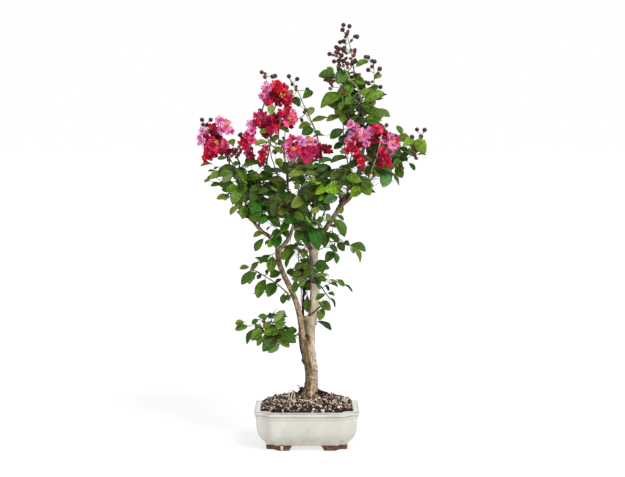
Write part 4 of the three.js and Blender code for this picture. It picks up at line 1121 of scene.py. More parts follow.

# ------------------------------------------------------------------ the crown's own data
# Leaves that stand out in the view: base x, y, tip x, y, width (picture points), tone.
# tones: D deep, M mid, L light, Y young, O olive, B blue-green with a painted bluish sheen, K shaded, G seen from under
HERO = {
    "low_left": (-28, [
        (244, 322, 235, 323.6, 5, "O"), (247.5, 326.5, 235, 330, 6.5, "M"), (268, 317, 257.8, 316.6, 4.5, "D"), (258.5, 319.5, 251.5, 324, 4.5, "D"),
        (272, 314, 267.8, 316, 3.5, "K"), (273, 321.5, 283.5, 311, 6.5, "G"), (274.5, 322, 284.5, 317.5, 8, "M"), (274.5, 323, 283.5, 328.5, 6, "M"),
        (271, 322.5, 262.8, 328.5, 5.5, "O"), (262.5, 328, 254, 326.8, 3.5, "K"), (256, 329, 247, 344.5, 5, "K"), (262, 330, 251, 340.5, 8.5, "M"),
        (280, 332, 263.2, 333, 8.5, "L"), (277, 336, 262.5, 351.5, 11, "D"), (277.5, 338.5, 268, 352.5, 12, "G"), (264, 337, 257, 346, 5, "O"),
        (286.5, 333, 297, 330, 7, "M"), (281, 333, 296, 343, 10.5, "D"), (280, 339, 289.5, 347.5, 8, "O"), (284, 337, 278.6, 341, 3, "G"), (283.5, 310.5, 285.5, 313.5, 2, "G"),
        (263, 320, 267, 318.5, 2, "K"),
    ]),
    "mid_left": (-20, [
        (249, 267, 239.5, 268.5, 4.5, "O"), (257, 272.5, 241, 284.5, 8, "D"), (261, 275, 257, 279, 4, "K"), (258, 262, 252, 270, 5, "M"),
        (271, 255.5, 260, 264, 5, "D"), (272.5, 256.5, 270.5, 273, 9, "L"), (267, 275, 266.5, 269.5, 3.5, "M"), (280, 272.5, 269.5, 277, 7.5, "D"),
        (281.5, 279, 275, 283, 3.5, "K"), (265.5, 279.5, 257.5, 298.5, 9, "M"), (274.5, 283, 267.5, 297, 10.5, "D"), (283.5, 294, 283, 304, 6, "M"),
        (287, 295, 289, 301, 5.5, "O"),
    ]),
    "low_right": (-22, [
        (314.6, 264.8, 329.8, 268.4, 9, "D"), (319, 263, 322.8, 273.2, 8.5, "M"), (320, 271.6, 306.3, 272.2, 4.5, "B"), (310, 272, 317, 277.5, 5, "G"), (328, 274.5, 316.5, 275, 4.5, "G"), (327, 280, 316.5, 279.5, 5, "D"),
        (296.5, 274.5, 286.5, 271.5, 6.5, "D"), (303, 263.5, 294.4, 269.5, 6, "O"), (306.5, 272.5, 306.8, 261, 5, "O"), (309.5, 275, 291, 278.5, 5, "G"),
        (296, 281, 294.3, 293, 6, "M"), (309, 281, 300.5, 289, 5, "D"), (306, 280, 297, 287, 5, "G"), (311, 270, 303, 277, 6, "M"), (306.5, 250.5, 302, 257.8, 6, "O"),
        (298.5, 245, 283.5, 258, 7.5, "O"), (296, 250.5, 285.8, 268, 4.5, "M"), (302, 273, 293, 275, 5, "O"), (313, 277, 321, 284, 5, "D"),
        (330, 279.2, 337.5, 281.6, 3, "G"), (330, 283.2, 338, 286.8, 3, "K"), (337.5, 279.5, 344.5, 286.5, 5, "M"), (344, 284.5, 352.5, 292.5, 2.2, "K"),
        (316.8, 284, 320.8, 289.5, 3.6, "B"), (329.3, 297.5, 334.8, 308, 2.4, "K"), (328, 293, 334.8, 295.5, 3.5, "B"), (325, 294, 315.5, 299.8, 5, "M"),
        (323.3, 308.5, 319, 320.5, 7.5, "M"), (320.5, 302.5, 330.5, 310.5, 8.5, "O"), (318.5, 302, 323.5, 306, 4, "O"), (317.5, 321.5, 331.5, 330.5, 5, "K"), (325.5, 285, 329, 291, 3, "K"),
        (333.2, 252, 325.6, 262.3, 8, "D"), (334.2, 252, 336.5, 263.8, 5, "D"),
    ]),
    "in_fork": (15, [(308.2, 296.5, 307.5, 312.5, 6.5, "M"), (306.2, 297, 306.6, 309, 3.5, "O"), (307.2, 320, 306.9, 331, 3.2, "K")]),
    "behind_right": (-62, [(381, 146, 374.5, 137, 5.5, "D"), (384, 142, 377, 151, 6, "K"), (371, 142, 379, 150, 6, "K"), (363.5, 156, 376, 161.5, 6, "K"), (380, 160, 368, 165, 6, "K"), (376, 158, 366, 150, 6, "K"), (372, 150, 364, 146, 4, "K"), (380, 152, 370, 158, 5, "K")]),
    "centre": (-96, [
        (315, 194, 326.5, 187, 8.5, "Y"), (339, 190, 324, 190.5, 10.5, "Y"), (331, 186, 341, 195, 8, "L"), (337.5, 197, 323.5, 202.5, 8.5, "B"), (318.5, 201, 324.5, 196, 5, "Y"),
        (319, 203, 330.5, 210, 8, "D"), (324, 211, 317, 205, 5, "B"), (319.5, 208.5, 311.5, 213.5, 5.5, "O"), (323.5, 218, 317, 222.5, 5.5, "G"),
        (325, 221.5, 330.5, 215, 6, "G"), (309, 225.5, 318.5, 250, 11.5, "V"), (320, 228.5, 324.5, 248, 8, "D"), (332.5, 219.5, 345, 237, 8.5, "D"), (362, 181.5, 346.5, 177.5, 9.5, "L"), (362.5, 184, 370.5, 195.5, 10.5, "L"), (337, 215, 343.8, 220.6, 3.5, "D"),
        (343, 206, 340.5, 214, 4, "O"), (350, 197, 361.5, 188, 9.5, "Y"), (327, 234, 339.5, 242, 6, "D"), (337.8, 243, 344.5, 251, 7, "D"),
        (349.5, 245.5, 344.5, 241, 4, "K"), (350.5, 245, 366, 251.5, 7, "M"), (350.5, 246.5, 354.5, 253.5, 3.5, "G"), (351.5, 247, 360, 263, 4, "O"),
        (330, 245, 337, 252, 5, "K"), (306, 230, 306.5, 245, 8, "K"), (303, 201, 291, 207.5, 10, "O"), (298.5, 218.5, 284.5, 222.5, 7.5, "V"), (294, 213.5, 304, 220.5, 8, "M"), (299, 206, 308.5, 212, 6.5, "D"), (301, 230, 297, 243, 9, "D"),
    ]),
    "left_centre": (-52, [
        (245, 205.5, 242.4, 219.3, 9, "M"), (238, 206, 230, 215, 5, "O"), (241, 204, 234, 209.5, 4.5, "O"), (251.5, 211.5, 255, 222, 7.5, "L"),
        (248, 209, 256.5, 204, 6, "M"), (251, 202, 259.5, 217, 10.5, "V"), (264, 214, 262, 224.5, 9, "V"), (270, 219, 280.5, 227, 7, "D"),
        (274, 209, 270, 218, 7, "D"), (292.5, 205, 278, 214.5, 11.5, "O"), (279, 218, 289, 213, 6.5, "O"),
        (277, 200, 273, 217, 10, "K"), (297, 224, 296, 234, 5, "G"), (263.3, 238.8, 255.2, 251.5, 6.5, "D"),
        (265, 233, 253, 237, 4.6, "O"), (268.5, 239.5, 265.5, 245, 2, "K"), (271, 226.5, 266.5, 231, 1.8, "K"), (274.5, 239, 268, 247.5, 6, "Y"),
        (279, 233, 275.5, 248, 9, "V"), (281.5, 231, 271, 235.5, 6, "M"), (282.8, 232, 289.5, 236.5, 6, "D"), (289, 249, 282.5, 260, 7, "M"),
        (266, 205, 257, 212, 6, "K"), (289, 224, 280, 232, 7, "M"),
    ]),
    "crown_left": (-34, [
        (213.5, 165.5, 200.2, 166.4, 3, "O"), (219, 167, 213.5, 169.5, 2, "K"), (215.5, 171, 207.5, 171.5, 2, "K"), (218.5, 172.3, 210, 179.3, 6.5, "O"), (209.8, 178.3, 204, 182.6, 2.6, "O"),
        (237, 168.5, 217.6, 172.3, 7, "D"), (232, 174, 221.8, 182, 8, "G"), (231, 171.5, 219, 176.5, 6, "D"), (221.5, 184.8, 210.4, 186.2, 4, "K"), (227, 192.5, 222, 188.5, 4, "D"),
        (238.5, 187, 226, 191, 7, "M"), (230, 197.3, 216.3, 198.8, 5.5, "O"), (241, 189.5, 232.3, 204, 10.5, "M"), (247.5, 199.5, 238, 202.5, 4.5, "D"), (259, 163.5, 243, 166.5, 5.5, "D"), (239, 162.5, 232.3, 166, 4.5, "D"),
        (239.5, 168.5, 244.5, 180, 9, "M"), (247.5, 171.5, 256, 174.5, 4.5, "D"), (264, 178.5, 244, 179.5, 7, "M"), (284.5, 171.5, 267, 172.3, 4.5, "D"), (265.5, 165.5, 270.5, 171.5, 4.5, "K"),
        (276, 159, 282.5, 167, 7, "O"), (286.5, 182, 268, 180.5, 5, "O"), (286.5, 184, 277, 191, 8.5, "M"), (261, 188, 249, 191.5, 7, "D"), (257, 192, 250, 203, 8.5, "D"),
        (270, 189.5, 258, 193.5, 6, "D"), (247, 187.5, 240, 193, 6, "M"), (277, 192.5, 267, 195, 5, "K"), (268, 199, 258, 206.5, 8, "D"), (281, 193.5, 290, 197, 5, "D"),
    ]),
    "centre_top": (-70, [
        (303, 165.5, 312, 168, 4, "O"), (305, 172.5, 288.5, 176, 7.5, "O"), (305.5, 167, 295.7, 168.5, 4.5, "O"), (288, 165, 294.5, 161.5, 3.5, "O"), (305.5, 179.5, 296.5, 183.5, 7, "D"), (318, 175, 304, 174, 5, "M"), (299, 185, 294.5, 189, 5, "G"),
        (301, 191, 317, 199, 9, "M"), (300.5, 197.5, 291, 207.5, 9, "O"), (292, 195.5, 286, 204, 7, "D"), (297, 169, 312, 165.5, 6, "D"),
        (318, 178, 330, 172, 8, "D"), (316, 172, 328, 166, 7, "D"), (304, 202, 299, 190, 7, "D"), (320, 186, 310, 192, 7, "M"), (340, 172, 330, 180, 8, "K"),
        (296, 162, 306, 158, 5, "O"), (318, 163, 332, 159.5, 5, "D"),
    ]),
    "crown_right": (-40, [
        (344, 171, 334, 178, 8, "O"), (345.5, 181, 336.5, 187, 7, "O"), (410, 138.5, 398.3, 136, 5.5, "O"), (396, 160, 400, 150, 6, "B"),
        (374, 169, 392, 171, 4.5, "O"), (371, 172, 366, 167, 5, "M"), (389.5, 174, 382.5, 187.5, 10.5, "B"), (391.5, 172, 399, 186, 3, "O"), (396, 168, 402.5, 178, 8, "D"), (352, 169, 353, 160, 6, "M"), (347, 157, 331, 163, 5, "D"), (341, 148, 346, 154, 3, "O"),
        (393, 166, 405, 153, 10, "D"), (402, 135, 396.6, 125.6, 5, "M"), (413.5, 141.5, 402.5, 145.5, 7.5, "L"), (414.6, 141, 426, 153, 11, "L"),
        (416.8, 155.3, 426.6, 155.3, 2, "K"), (409, 163, 415, 170.5, 4, "K"), (350, 170, 344, 165, 5, "D"),
        (385, 165, 375, 160, 7, "K"), (400, 156, 408, 160.5, 5, "K"), (404, 158, 412, 150, 5, "D"), (399, 148, 408.5, 152, 5, "D"), (398, 150, 391, 158, 7, "K"),
    ]),
    "spire_right": (-12, [
        (335.5, 74.5, 318.3, 76, 8, "D"), (334, 74, 327, 67.3, 5, "M"), (348, 71.5, 337.5, 84, 12, "D"), (346, 97, 352.5, 83.5, 10, "L"), (346, 95.2, 320.6, 108.2, 9.5, "M"),
        (356, 67, 369, 61, 5.5, "L"), (364, 102.3, 384.3, 92.5, 10, "L"), (366, 102.5, 383, 98.5, 4, "D"), (354.5, 80, 365, 83.3, 8, "M"), (374, 79, 381.5, 74.5, 5.5, "M"), (372, 88.5, 379.3, 86.5, 5, "M"),
        (363, 107.5, 378, 113.5, 8.5, "M"), (375, 110, 390, 117, 6.5, "O"), (365, 121.5, 383.5, 116.5, 6.5, "L"), (327.6, 117.5, 312, 121.5, 4.5, "O"), (340.5, 116.5, 326.3, 121.5, 5.5, "O"),
        (343, 129.5, 330, 138.5, 8, "D"), (359.5, 106.5, 341, 111, 5.5, "D"), (343.5, 101.5, 339, 110.5, 6, "O"), (354.5, 98.5, 345, 104, 7.5, "M"), (342.5, 115.5, 356, 111.5, 6, "O"),
        (343, 144, 333.5, 149, 6, "D"), (348, 149.5, 340.5, 153.5, 5, "O"), (347, 158, 330, 162.5, 5, "K"), (345.5, 136, 339, 142.5, 6, "D"),
        (360, 95, 371, 89.5, 5, "O"), (340.5, 115.5, 343.5, 123, 5.5, "M"), (355, 118.5, 363.5, 124.5, 6, "D"), (360, 104, 371, 108, 6, "D"), (346, 91, 337, 93, 6, "M"),
        (366, 122, 380, 126, 6, "D"), (368, 126, 386, 130, 5, "D"), (348, 128, 356, 121, 5, "K"), (352, 104, 360, 100, 5, "K"),
    ]),
    "spire_middle": (-6, [
        (302.5, 98.5, 313, 91.5, 7, "D"), (307.5, 116, 314, 107.5, 6, "O"), (292, 98.5, 300.5, 105.5, 7, "D"), (311.5, 124.3, 298.5, 128.3, 6, "O"),
        (313, 129, 301.5, 134.3, 9.5, "D"), (326, 136.4, 312.7, 137.5, 2, "K"), (313.8, 131.5, 321, 134.3, 4, "D"), (301, 117.8, 302.2, 122.8, 3, "D"),
    ]),
    "among_blossom": (-44, [
        (271.5, 105, 271, 115, 6.5, "O"), (270.3, 131.5, 259, 132.5, 4.5, "M"), (268, 142, 255, 145.5, 4.5, "O"), (233, 146.8, 232, 139, 5.5, "M"), (226, 158, 217.5, 158.8, 4, "K"),
        (274.5, 147.5, 283, 153, 5, "M"), (280, 127.5, 289, 132.5, 4.5, "D"), (278, 134.7, 272, 142.3, 5, "D"), (277.5, 143.8, 284.5, 142.3, 4.5, "M"), (284, 143, 292, 146, 4, "D"),
    ]),
}
# Twigs and leaders drawn where they are seen: picture points, depth at both ends (mm), radius at both ends (mm)
STEMS = [
    # up into the crown
    ([(247.2, 212.5), (245, 200), (241.5, 186), (238.3, 176), (235, 167.5), (231.7, 161.7), (226, 152), (218, 144)], (-20, -30), (2.2, 0.8)),
    ([(245, 202), (238, 199.5), (231, 195), (225, 186), (221.5, 182), (217.5, 178)], (-20, -38), (1.2, 0.6)),
    ([(258.3, 227.8), (259.8, 222), (262, 211), (262, 196), (263.5, 182), (266, 166), (269.5, 148), (271.5, 133), (273, 115), (279, 96)], (-12, -14), (2.3, 0.8)),
    ([(271, 139), (262, 146), (252, 141), (247, 134)], (-13, -18), (1.1, 0.6)),
    ([(288, 166), (290.7, 165), (298.6, 173)], (-16, -50), (0.9, 0.6)),
    ([(226, 152), (214, 150), (207, 145)], (-28, -26), (0.8, 0.5)),
    ([(292, 212), (289, 200), (288, 182), (287, 168), (291, 156), (302, 148)], (-1, -30), (1.9, 0.7)),
    ([(287.5, 172), (284, 150), (286, 130), (290, 119)], (-8, -30), (1.2, 0.6)),
    ([(313, 226), (316, 205), (319, 178), (319.6, 155), (317.6, 137.6), (311, 120), (304, 105.7), (296.8, 89.7), (290.4, 79.5)], (2, -8), (2.6, 0.55)),
    ([(355, 194), (357, 178), (361.5, 158), (364, 138), (363, 120), (362, 106), (357, 86.5), (353, 64), (350.5, 48), (347, 34)], (-4, 6), (3.6, 0.6)),
    ([(361.5, 112), (368, 101), (373.6, 88), (374, 65)], (4, 0), (1.0, 0.5)),
    ([(357.5, 88), (349, 78), (343, 66), (340.5, 54)], (4, -6), (0.9, 0.5)),
    ([(345, 112), (343.5, 128), (344.5, 148), (350, 170)], (2, -2), (0.9, 1.2)),
    ([(353.5, 196), (362, 188), (375, 176), (390, 165), (405, 152), (413, 144), (420.5, 136)], (-4, -4), (2.4, 0.6)),
    ([(357, 196), (363, 187), (368.5, 178), (374, 164), (379, 148), (381.5, 135)], (-40, -126), (1.5, 1.0)),
    ([(352, 196), (357, 196)], (-6, -40), (1.6, 1.3)),
    ([(374, 164), (368.5, 158), (364, 153.5)], (-87, -98), (0.7, 0.5)),
    ([(216.5, 150), (211, 135), (206.5, 128), (203.5, 122)], (-16, -10), (0.8, 0.5)),
    # low and middle sprays
    ([(301.5, 333.4), (297, 335), (290, 334.5), (280, 333), (273, 324), (270, 317.5), (265, 317)], (-9, -16), (1.5, 0.55)),
    ([(270.5, 318), (272.5, 313.5), (277.5, 308.8)], (-16, -16), (0.75, 0.4)),
    ([(266, 317), (259, 319.5), (253, 325), (247, 326)], (-18, -22), (0.8, 0.45)),
    ([(280, 334.5), (272, 331), (263, 328.5), (256, 327)], (-17, -26), (0.9, 0.45)),
    ([(288.5, 294), (283, 289), (278.5, 285), (275.5, 283), (268, 278), (262, 274.5), (256, 271), (248, 271.5)], (-7, -20), (1.5, 0.5)),
    ([(250.5, 271), (252, 266), (257, 262.5), (262, 259), (267, 256)], (-20, -18), (0.8, 0.45)),
    ([(285.5, 291.5), (285, 294), (283.5, 296)], (-9, -16), (0.7, 0.4)),
    ([(312, 282), (318, 284), (322, 288), (325, 292.5), (328, 296), (330, 300)], (-6, -22), (1.6, 0.8)),
    ([(322, 288), (328, 284.5), (336, 282.5), (345, 284.5)], (-14, -22), (0.8, 0.4)),
    ([(309.3, 315.3), (313.5, 312.2), (318.8, 307.5), (322, 303), (323.5, 299.5)], (-7, -16), (1.3, 0.7)),
    ([(315.6, 325), (317.5, 322.5)], (-2, -6), (1.0, 0.7)),
    ([(304.2, 302), (306.5, 298), (307, 290), (306.5, 281), (305, 272)], (6, -14), (1.0, 0.6)),
    ([(316, 246), (322, 243), (327, 236), (331, 231), (336, 236), (340, 240), (344, 244), (350, 246)], (0, -34), (1.4, 0.5)),
    ([(318.5, 250), (326, 247), (333, 248.5), (335, 252)], (2, -14), (1.0, 0.5)),
    ([(287, 238.5), (283, 232.3), (276, 227.8), (268.5, 223)], (-8, -42), (1.1, 0.6)),
    ([(277.5, 252), (272, 254.5), (268, 256)], (-9, -18), (0.9, 0.5)),
    # pale shoots that show in front of the spire's leaves
    ([(362.6, 110), (361.3, 101), (358.2, 90.5), (354.6, 83.5), (350, 78.2), (347.2, 73.5), (347, 68)], (3, -32), (1.25, 0.5)),
    ([(362.3, 106), (358, 102.6), (353.8, 98.8), (348.8, 94.2)], (1, -34), (1.2, 0.6)),
    ([(345, 113), (343.2, 105), (342.2, 96)], (2, -32), (1.1, 0.6)),
]
PALE_STEMS = (14, 16)  # rows of STEMS with bleached bark
# leaders that aren't seen, in mm: they carry the front and the back of the crown
LEADERS = [
    ([(-14, -56, 436), (-32, -46, 452), (-62, -38, 471), (-94, -36, 480), (-122, -36, 488)], (1.3, 0.5)),
    ([(-18, -60, 446), (-6, -84, 458), (8, -104, 466), (22, -118, 474)], (1.7, 0.7)),
    ([(56, -6, 470), (62, -34, 488), (68, -70, 502), (88, -98, 520), (114, -100, 538)], (1.9, 0.7)),
    ([(-44, -42, 460), (-47, -40, 500), (-50, -40, 540), (-56, -42, 572)], (1.3, 0.6)),
    ([(62, -34, 488), (44, -50, 508), (24, -48, 540), (10, -40, 572)], (1.3, 0.6)),
    ([(68, -70, 502), (94, -76, 534), (112, -66, 566), (130, -60, 590)], (1.4, 0.7)),
    ([(-13, 74, 452), (-34, 92, 476), (-62, 112, 506), (-80, 124, 546), (-92, 128, 606)], (2.4, 0.7)),
    ([(-62, 112, 506), (-100, 116, 504), (-136, 106, 506), (-164, 96, 508)], (1.6, 0.7)),
    ([(-8, 66, 440), (14, 84, 468), (44, 98, 498), (72, 106, 540), (82, 106, 620)], (2.4, 0.7)),
    ([(44, 98, 498), (84, 98, 516), (118, 94, 528), (146, 92, 534)], (1.7, 0.7)),
    ([(-2, 46, 418), (-6, 62, 402), (-14, 84, 378), (-30, 120, 362)], (1.6, 0.7)),
    ([(-17.8, 10.5, 300), (-22, 22, 318), (-26, 34, 346), (-28, 42, 370)], (1.4, 0.8)),
    ([(-22, 22, 318), (-23, 34, 292), (-22, 38, 262)], (1.2, 0.6)),
    ([(4.6, 0, 316), (2, -20, 322), (-4, -34, 340), (-10, -38, 358)], (1.0, 0.6)),
    ([(-66, -8, 384), (-84, -26, 408), (-112, -28, 438), (-136, -27, 450)], (1.6, 0.6)),
    ([(-122, -20, 452), (-150, -16, 484), (-180, -14, 508), (-197, -13, 514)], (1.7, 0.5)),
    ([(-35, -2, 440), (-50, 2, 462), (-66, 4, 480)], (1.8, 0.9)),
    ([(2, 4, 392), (14, 8, 430), (30, 8, 470), (46, 6, 494)], (1.9, 0.9)),
]
# single flowers: centre x, y, radius (picture points), colour, depth (mm)
# colours: C crimson, R scarlet, P pink, L lilac, H hot pink, M magenta, W dark red, a deep red that also paints the
# shade on flowers deep in the clusters; a star shows the yellow middle
FLOWERS = [
    ("far_left", -40, "(226.8,125,7.5,P*) (219.5,120.5,5.5,P) (221.5,129.5,5.2,P) (230.2,130.5,4.8,H) (202,130.5,5.4,L) (201.2,141.2,5,L) (199,136.5,3.5,P) (212,129,6,W) (216.6,142.6,9.5,C*) (206.8,139,6.2,C) (225,145,5.8,H) (213.2,152,6.4,R) (207,149.5,5.5,C) (209.5,156.5,5,C) (205.3,157,5,R) (204.3,161,4,R) (223.5,151,4.5,W) (217,135,5.5,W) (229.5,152,4,W) (235,151,4,W)"),
    ("left_top", -30, "(267,87.5,6,P) (264,92,5,P) (261.5,96,4.5,P) (277,86,7.5,R) (283.5,87,5.5,C) (282,95,9.5,R*) (290,98,6,C) (288.5,106,5.5,C) (268.5,103.5,5.5,C) (270.5,95,6,H) (279,101,6,W) (274,98,5,W) (264,100,4,P)"),
    ("left_upper", -40, "(290.3,119.3,9.8,H*) (287,110,5,C) (261.5,117.5,7,H*) (256,115,5,H) (256,124,6,C) (269,119,6,H) (272,129,7,C) (279,122,7,C) (264,127,6.5,C) (265,134.5,5,W) (281,113.5,5,C) (268,124,5,W) (276,127,5,W)"),
    ("left_lower", -42, "(250.5,124,5.5,L) (252,130,5.5,P) (248,134,5.5,H) (244.4,141,7.2,R) (252,139.5,5.5,H) (249,151,6.3,M) (251.5,157,4.2,W) (266,147.5,4.5,C) (263.5,153,5.5,C) (261,158.5,4.2,C) (261,162,3.2,H) (240.5,135.5,3.6,W) (246,147,4.5,C)"),
    ("centre", -96, "(291.5,138.5,5.5,H) (288,144,5,P) (295.3,149.3,7.5,H*) (288.5,151,5,H) (291,157.5,5,P) (302,142,5.5,L) (310.3,140.5,6,P*) (315.5,141.5,4,L) (309,149,6.5,H) (306,157,6.5,H) (300.5,151,5.5,C) (315,151,5.5,M) (321,146.5,6,W) (328,149.5,6,W) (318.5,154,5.5,W) (299,138.5,4,P)"),
    ("right", -106, "(350.5,123.5,5.5,P) (355.5,126,5,P) (361.8,135.5,7.8,P*) (370,131.5,6,P) (350,134.5,5.2,L) (366.5,143.5,4.6,P) (358.5,143.5,5,W) (350.5,145.5,5,C) (346,140.5,4,P) (347.5,150.5,5,C) (354.5,150.5,5.2,R) (357.5,155.5,5.5,R) (360.5,161.5,5.2,R) (362.5,167,3.6,R) (378,128.5,6,C) (384.5,132.5,6,W) (374.5,139,5,W) (386.5,140,5,P) (392,137,5,P) (393.8,144,6.3,P*) (390,151.5,5,P) (383,150.5,5,C) (384,157,5,C) (388,161,5.5,C) (390.5,165.5,3,R) (380,165,4,W) (398,140,3.6,H) (377,134,4,W)"),
]
BUDS = [
    (343.4, 25), (349.4, 26.2), (342.5, 29.8), (346.8, 34), (356.9, 36.7), (340, 42.2), (343.8, 41.3), (336.1, 47.2), (344.2, 47.8), (329.6, 54), (336.2, 52.1), (341.5, 55.5),
    (338.8, 48.8), (343.8, 50.6), (338.7, 61), (343.4, 61), (347.2, 63.6), (355.2, 61.4), (338.8, 69.4), (365.7, 56.9), (368, 57.4), (372, 61), (374.5, 61.6), (379.7, 68.9),
    (368.2, 70), (368.5, 83.2), (380.4, 87), (330.2, 79), (331, 83), (357, 75.5), (288.9, 76.3), (297.2, 79), (307.3, 89.3), (334, 61.5), (352.8, 62.6),
    (261.7, 72.3), (272.5, 76.6), (275, 76), (202, 119.8), (210.7, 119.8), (203, 124.8), (207, 125), (417, 129.5), (424.6, 130), (412, 137), (421, 136.5), (339.2, 65.2), (306, 110.2),
]
PODS = [  # spent calyxes and half open buds, smaller and redder
    (327.5, 77), (329, 81), (332.5, 77.5), (333.5, 81), (332, 85.5), (328.5, 79), (330, 88.6), (325.5, 79.8), (341.7, 86.6), (342.5, 93.4), (292.1, 84.2), (296.3, 86.5), (296, 89.5), (265, 73.6), (264.8, 77),
    (382.9, 94.2), (372.2, 81.6), (351.4, 40.6), (351, 50.3), (354.8, 50), (354.9, 52.3), (354, 55.2), (350.2, 58.5), (346, 53), (340, 58), (346, 58.4), (343.5, 65.5), (347.5, 67.5), (338, 66.8), (341, 69.5),
    (336.4, 56), (339, 53.5), (348, 31.5), (354.8, 36.4), (355, 60), (350.8, 64.4), (354, 75), (359, 74.6), (371.9, 66.6), (378.3, 73.2), (366, 82), (386.5, 125.2), (345.3, 37), (333, 55), (337.5, 50.6), (342, 48.6),
    (415, 145), (414.5, 149.6), (416.6, 151), (414.4, 155), (416.2, 158.2), (413, 147.3), (412.7, 152.2), (407, 151), (405, 155.5), (402.5, 168), (401, 164.5), (404, 160), (400.5, 167.5),
    (239, 147), (236.5, 150), (234, 154), (240, 152.5), (231.5, 156), (236.5, 157), (238.3, 155), (226.5, 156), (228.5, 160), (241.5, 149.5),
    (370, 157.5), (375, 155.5), (366, 159.5), (378, 158), (298.3, 104.8), (260.2, 110.2), (274, 151), (275.5, 152.5), (304, 112.3), (283.5, 138),
]
# gaps that show the sky: centre x, y, radius (picture points)
SKY = [
    (251.5, 167.5, 2.6), (256.5, 168.5, 3.2), (260.5, 170, 3.8), (262, 174, 2.6), (256, 171.5, 2), (257, 148, 4), (257, 154, 2.6), (292, 262, 4.5), (297, 258, 3.8), (290, 267, 2.6), (240.5, 163, 1.5), (239, 167, 2), (270, 177, 1.6), (275, 177, 2), (280, 176.5, 1.5),
    (285, 177, 2.2), (265.5, 181.5, 1.8), (263.8, 184, 1.4), (231, 180.5, 3), (233, 182.5, 3), (228, 183, 2.2), (236, 184, 1.5), (291.5, 184, 1.8),
    (291, 188, 1.5), (293, 191, 2.2), (295, 193, 1.8), (287.5, 187, 1.2), (299.5, 187.5, 1.3), (272, 186.5, 1.2), (269, 191, 1), (265.5, 197.5, 1.6),
    (283, 201, 1.8), (270.5, 202, 0.9), (242.5, 198, 1.3), (244.5, 203, 1), (307.5, 204.5, 1.8), (306.5, 210.5, 1.5), (311.5, 208, 1), (297.5, 209.8, 1.4),
    (266, 216, 1), (276.5, 217, 1), (318, 214, 2.4), (322, 213.5, 2.6), (326, 212.5, 2.4), (329.5, 210.5, 2.4), (332, 207, 3), (334, 204.5, 2.2),
    (264.5, 227, 2), (267, 223.8, 1.5), (271, 230, 2.4), (269, 233, 1.6), (273, 227.5, 1), (282, 224, 1.7), (286.5, 230, 1), (286, 248.5, 1),
    (296, 259, 3), (293, 262, 2.5), (299, 257, 2.4), (270, 250.5, 3), (273, 252, 2), (330, 226, 2), (334, 229.5, 2.6), (338, 233, 3), (322, 252, 3),
    (331, 241, 1.5), (340, 162, 3), (336.5, 165, 2.6), (333, 168, 2), (347, 190, 1.5), (344, 191, 1.5), (363, 177, 3), (355, 171, 1.5), (395, 176, 2),
    (265, 98, 2), (283, 108, 1.5), (262, 138, 1.5), (255, 148, 3), (258, 150, 2.5), (294, 129, 2), (287, 131, 1.5), (331, 153, 3), (336, 150, 3),
    (320, 127, 4), (331, 111, 4), (365, 75, 4), (356, 113, 1.5), (209.5, 162, 3), (219, 161.5, 2.4), (225, 161.5, 2.4), (220, 168, 2), (226, 168, 1.8),
    (296, 284, 4), (296, 292, 4), (300, 298, 3.4), (238, 158, 3), (330, 241, 2),
    (249, 166.5, 2), (252, 171, 2.6), (257, 173.5, 2.4), (268, 177, 1.6), (272, 177, 2), (276, 177, 2.2), (280, 177, 2.2), (284, 177, 2.2), (264, 183, 2.4), (267, 182, 2),
    (273, 186.5, 2), (269, 191, 1.3), (291, 183, 2), (292, 187, 2.6), (295, 191, 2.6), (299, 187, 2.4), (301, 183, 1.6), (271, 203, 1.6), (275, 200, 1.6), (279, 199, 1.6), (283, 200, 2),
    (265.5, 197.5, 2), (241, 198, 1.6), (244, 197.5, 1.6), (266.5, 214, 2.8), (272, 223, 3), (277, 225, 3.4), (281, 226, 2.6), (307, 206, 2.8), (310, 210, 2.4), (314, 214.5, 3),
    (319, 215, 3.6), (325, 214, 3.2), (301.5, 197.5, 1.8), (359.5, 173, 2.4), (363.5, 175, 3), (366, 172.5, 1.8), (353, 171.5, 2), (356.5, 172.3, 2.2), (372.5, 178, 2.5), (376.5, 179, 3.4), (376, 184, 3), (372, 185, 2), (379.5, 181, 2.2), (333, 167, 2), (338, 166.5, 2), (343, 165.5, 1.6), (248.5, 170, 3), (233.5, 179.5, 2.5), (234.5, 184, 2), (289, 188, 1.8), (258.5, 186.5, 1.3), (248, 184.8, 1), (301.5, 197, 1.6), (298, 210.5, 2), (292.5, 227.5, 2.2), (290.8, 232, 2), (302.5, 306, 1.2), (302.8, 300, 1.2), (314, 252, 3.5), (314, 258, 3.5), (315, 290, 3), (314.5, 298, 3.5), (314, 306, 3.5),
]
INSIDE = [
    (214, 172), (224, 168), (234, 162), (244, 160), (258, 159), (268, 158), (285, 160), (290, 165), (300, 163), (315, 160), (335, 158), (346, 165),
    (352, 160), (362, 170), (372, 165), (392, 165), (400, 160), (410, 150), (424, 148), (416, 156), (404, 165), (402, 175), (394, 172), (386, 184),
    (378, 180), (372, 190), (362, 192), (350, 196), (340, 194), (336, 203), (328, 208), (316, 213), (314, 222), (326, 228), (330, 235), (325, 246),
    (320, 248), (306, 262), (296, 254), (284, 262), (266, 262), (258, 268), (252, 250), (262, 225), (247, 212), (236, 208), (226, 190),
]

# ------------------------------------------------------------------ where leaves may show
RES = 3  # raster cells per picture point
RW, RH = 625 * RES, 477 * RES
yy, xx = np.mgrid[0:RH, 0:RW]
cx, cy = (xx + 0.5) / RES, (yy + 0.5) / RES
allowed = np.zeros((RH, RW), bool)
hero_y = np.full((RH, RW), 1e9)


